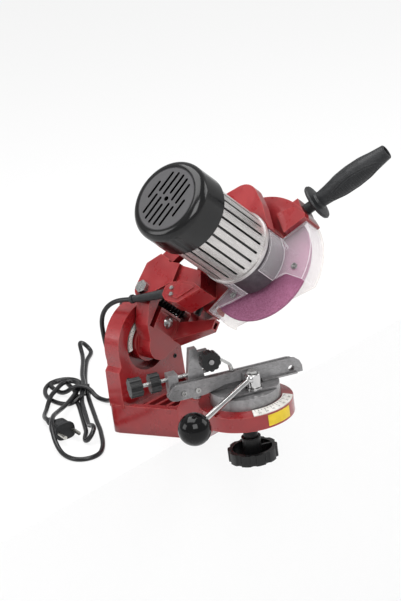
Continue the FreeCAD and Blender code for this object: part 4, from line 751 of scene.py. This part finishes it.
markSection = flatSection(markSet["half"], markSet["sink"], markSet["rise"])
viseMarks = markLines(visePlace, viseScale)
slopeUp = np.array([viseScale["fall"], 1.0]) / math.hypot(viseScale["fall"], 1)
viseTurns = np.radians(np.array(viseScale["turns"], float))
viseUp = np.stack([np.sin(viseTurns) * slopeUp[0], -np.cos(viseTurns) * slopeUp[0],
                   slopeUp[1] + 0 * viseTurns], axis=-1)
viseOut = np.repeat(viseUp[:, None], markSet["places"], axis=1)
makePiece("vise_marks", *alongRuns(viseMarks, viseOut, markSection, taper=False), "base", "scaleInk")
placeNumbers("vise_numbers", visePlace, [(turn, str(abs(turn))) for turn in viseScale["numbers"]], viseScale,
             -1, "base")
tiltMarks = markLines(tiltPlace, tiltScale)
tiltOut = np.broadcast_to(np.array([0.0, -1.0, 0.0]), tiltMarks.shape)
makePiece("tilt_marks", *alongRuns(tiltMarks, tiltOut, markSection, taper=False), "base", "scaleInk")
placeNumbers("tilt_numbers", tiltPlace,
             [(tiltScale["zero"] - turn, str(turn)) for turn in tiltScale["numbers"]], tiltScale, 1, "base")

# the long sleeve round the cord where it leaves the switch box; its profile is distance along and radius
sleeveSet = {"start": 3.0, "turns": 36, "heading": 2, "first": 8, "grooves": 22, "pitch": 2, "radius": 5.9,
             "narrower": 0.065, "depth": 0.35}
sleeveProfile = [(0, 3.1), (0, 6.6), (3, 6.8), (3.6, 6.0), (8, 5.9)]
sleeveProfile += [(sleeveSet["first"] + sleeveSet["pitch"] * k + shift,
                   sleeveSet["radius"] - sleeveSet["narrower"] * k - drop)
                  for k in range(sleeveSet["grooves"])
                  for shift, drop in ((0.3, 0.0), (1.0, sleeveSet["depth"]), (1.7, 0.0))]
sleeveProfile += [(52.6, 4.4), (53, 5.6), (56, 5.6), (56.6, 4.3), (58, 4.2), (58, 3.1)]


def cordLine(cord):
    # The places along the cord's own line, read from a copy of it that has no section.
    bare = cord.copy()
    bare.data = cord.data.copy()
    bare.data.bevel_depth = 0
    bare.data.use_fill_caps = False
    bpy.context.scene.collection.objects.link(bare)
    bpy.context.view_layer.update()
    line = meshOf(bare)[1]
    bpy.data.objects.remove(bare)
    return line


def sleeveAlong(line, profile):
    # Rings square to the line: each takes the place and heading of the line at its distance.
    steps = np.concatenate([[0], np.cumsum(np.linalg.norm(np.diff(line, axis=0), axis=1))])
    distance = (np.array([stop[0] for stop in profile]) + sleeveSet["start"]) * mm
    radius = np.array([stop[1] for stop in profile]) * mm
    centre = np.stack([np.interp(distance, steps, line[:, k]) for k in range(3)], axis=1)
    further = distance + sleeveSet["heading"] * mm
    ahead = np.stack([np.interp(further, steps, line[:, k]) for k in range(3)], axis=1) - centre
    ahead /= np.linalg.norm(ahead, axis=1, keepdims=True)
    side = np.cross(ahead, (1.0, 0, 0))
    side /= np.linalg.norm(side, axis=1, keepdims=True)
    rise = np.cross(ahead, side)
    angles = np.linspace(0, 2 * np.pi, sleeveSet["turns"], endpoint=False)
    ring = side[:, None] * np.cos(angles)[:, None] + rise[:, None] * np.sin(angles)[:, None]
    return (centre[:, None] + ring * radius[:, None, None]).reshape(-1, 3)


sleeve = makePiece("relief_sleeve", sleeveAlong(cordLine(mainsCord), sleeveProfile),
                   loopFaces(1, len(sleeveProfile), sleeveSet["turns"], True), "head", "gripRubber")
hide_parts("strain_relief")


# the moulded plug: a ribbed neck that swells into a rounded body with finger ridges and a flat face; each
# stop is the distance along, half the width and half the height
plugSet = {"at": (-92, 109, 11), "turn": -18.4, "corners": 56, "power": 3.2, "squared": (6, 15), "first": 16,
           "ridges": 7, "pitch": 2.4, "half": 11.9, "rise": 9.9, "depth": 0.8, "riseShare": 0.6}
plugStops = [(-9, 3.1, 3.1), (-9, 4.4, 4.4), (-6, 4.6, 4.6), (-5.4, 5.2, 5.2), (-3, 5.2, 5.2),
             (-2.4, 4.7, 4.7), (0, 4.9, 4.9), (0.6, 5.6, 5.6), (3, 5.6, 5.6), (3.6, 5.2, 5.2), (6, 5.6, 5.6),
             (10, 7.6, 7.2), (13, 10.4, 8.8), (15, 11.6, 9.6)]
plugStops += [(plugSet["first"] + plugSet["pitch"] * k + shift, plugSet["half"] - drop,
               plugSet["rise"] - drop * plugSet["riseShare"]) for k in range(plugSet["ridges"])
              for shift, drop in ((0.2, 0.0), (0.8, plugSet["depth"]), (1.6, plugSet["depth"]), (2.2, 0.0))]
plugStops += [(33, 12.4, 10.3), (33.6, 13.4, 10.9), (37.4, 13.5, 11), (38, 13, 10.5), (38, 0.1, 0.1)]


def plugPoints(stops, setting):
    # Rings along the plug, round at the neck and four-sided with rounded corners at the body, turned onto the
    # bench.
    angles = np.linspace(0, 2 * np.pi, setting["corners"], endpoint=False)
    bend = 2 / setting["power"]
    wide = np.sign(np.cos(angles)) * np.abs(np.cos(angles)) ** bend
    high = np.sign(np.sin(angles)) * np.abs(np.sin(angles)) ** bend
    along, half, rise = (np.array(values)[:, None] for values in zip(*stops))
    start, end = setting["squared"]
    squared = np.clip((along - start) / (end - start), 0, 1)
    across = half * (np.cos(angles) * (1 - squared) + wide * squared)
    up = rise * (np.sin(angles) * (1 - squared) + high * squared)
    turn = math.radians(setting["turn"])
    ahead = np.array([math.sin(turn), -math.cos(turn), 0])
    side = np.array([math.cos(turn), math.sin(turn), 0])
    places = (across[..., None] * side + along[..., None] * ahead + up[..., None] * np.array([0, 0, 1.0]) +
              np.array(setting["at"]))
    return places.reshape(-1, 3) * mm


plug = makePiece("moulded_plug", plugPoints(plugStops, plugSet),
                 loopFaces(1, len(plugStops), plugSet["corners"], True), "base", "gripRubber")
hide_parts("plug_body")
print("small pieces on")

# room: a pale bench that ends where the vise hangs over it, and soft lamps


def flatBoard(name, corners):
    # One rectangle, its corners given in order.
    mesh = bpy.data.meshes.new(name)
    mesh.from_pydata(corners, [], [tuple(range(len(corners)))])
    board = addObject(name, mesh)
    return board


roomSet = {"front": -0.066, "floor": -0.4, "benchHalf": 3, "reach": 6, "paper": (0.86, 0.86, 0.86, 1),
           "glow": (1, 1, 1, 1), "glowShare": 0.8, "sky": (0.45, 1)}


def roomMaterial(name, look):
    # White paper: rays from the camera, reflections and refractions see mostly a plain white glow, with the
    # rest of its own shading kept for the shadow.
    material = bpy.data.materials.new(name)
    tree = emptyTree(material)
    paths = addNode(tree, "LightPath").outputs
    first = math2(tree, "MAXIMUM", paths["Is Camera Ray"], paths["Is Glossy Ray"])
    second = math2(tree, "MAXIMUM", first, paths["Is Transmission Ray"])
    paper = addNode(tree, "BsdfDiffuse", {"Color": look["paper"]}).outputs[0]
    glow = addNode(tree, "Emission", {"Color": look["glow"]}).outputs[0]
    share = math2(tree, "MULTIPLY", second, look["glowShare"])
    addNode(tree, "OutputMaterial", {0: addNode(tree, "MixShader", {0: share, 1: paper, 2: glow}).outputs[0]})
    return material


paperWhite = roomMaterial("paper_white", roomSet)
front, floor, half, reach = (roomSet[key] for key in ("front", "floor", "benchHalf", "reach"))
for name, corners in {
        "bench": [(-half, front, 0), (half, front, 0), (half, reach, 0), (-half, reach, 0)],
        "bench_edge": [(-half, front, floor), (half, front, floor), (half, front, 0), (-half, front, 0)],
        "floor": [(-reach, -reach, floor), (reach, -reach, floor), (reach, reach, floor),
                  (-reach, reach, floor)]}.items():
    flatBoard(name, corners).data.materials.append(paperWhite)

# the sky is dimmer for the lighting than for the camera
world = bpy.data.worlds.new("studio")
bpy.context.scene.world = world
skyTree = emptyTree(world)
skyLevel = ramp(skyTree, addNode(skyTree, "LightPath").outputs["Is Camera Ray"], 0, 1, *roomSet["sky"])
sky = addNode(skyTree, "Background", {"Color": roomSet["glow"], "Strength": skyLevel}).outputs[0]
addNode(skyTree, "OutputWorld", {0: sky})

lampSet = {
    "key": {"at": (-1.1, -1.5, 1.5), "size": 1.2, "power": 24},
    "side": {"at": (1.4, -1.1, 0.9), "size": 1.0, "power": 9},
    "top": {"at": (-0.1, 0.2, 1.9), "size": 1.6, "power": 34},
    "rim": {"at": (-1.5, 0.9, 0.9), "size": 0.9, "power": 9},
}
lampAim = Vector((0.02, -0.1, 0.12))
for name, lamp in lampSet.items():
    light = bpy.data.lights.new(name, "AREA")
    light.size = lamp["size"]
    light.energy = lamp["power"]
    holder = addObject(name, light)
    holder.location = lamp["at"]
    holder.rotation_euler = (lampAim - holder.location).to_track_quat("-Z", "Y").to_euler()
print("room lit")

bpy.context.scene.view_settings.view_transform = "Standard"
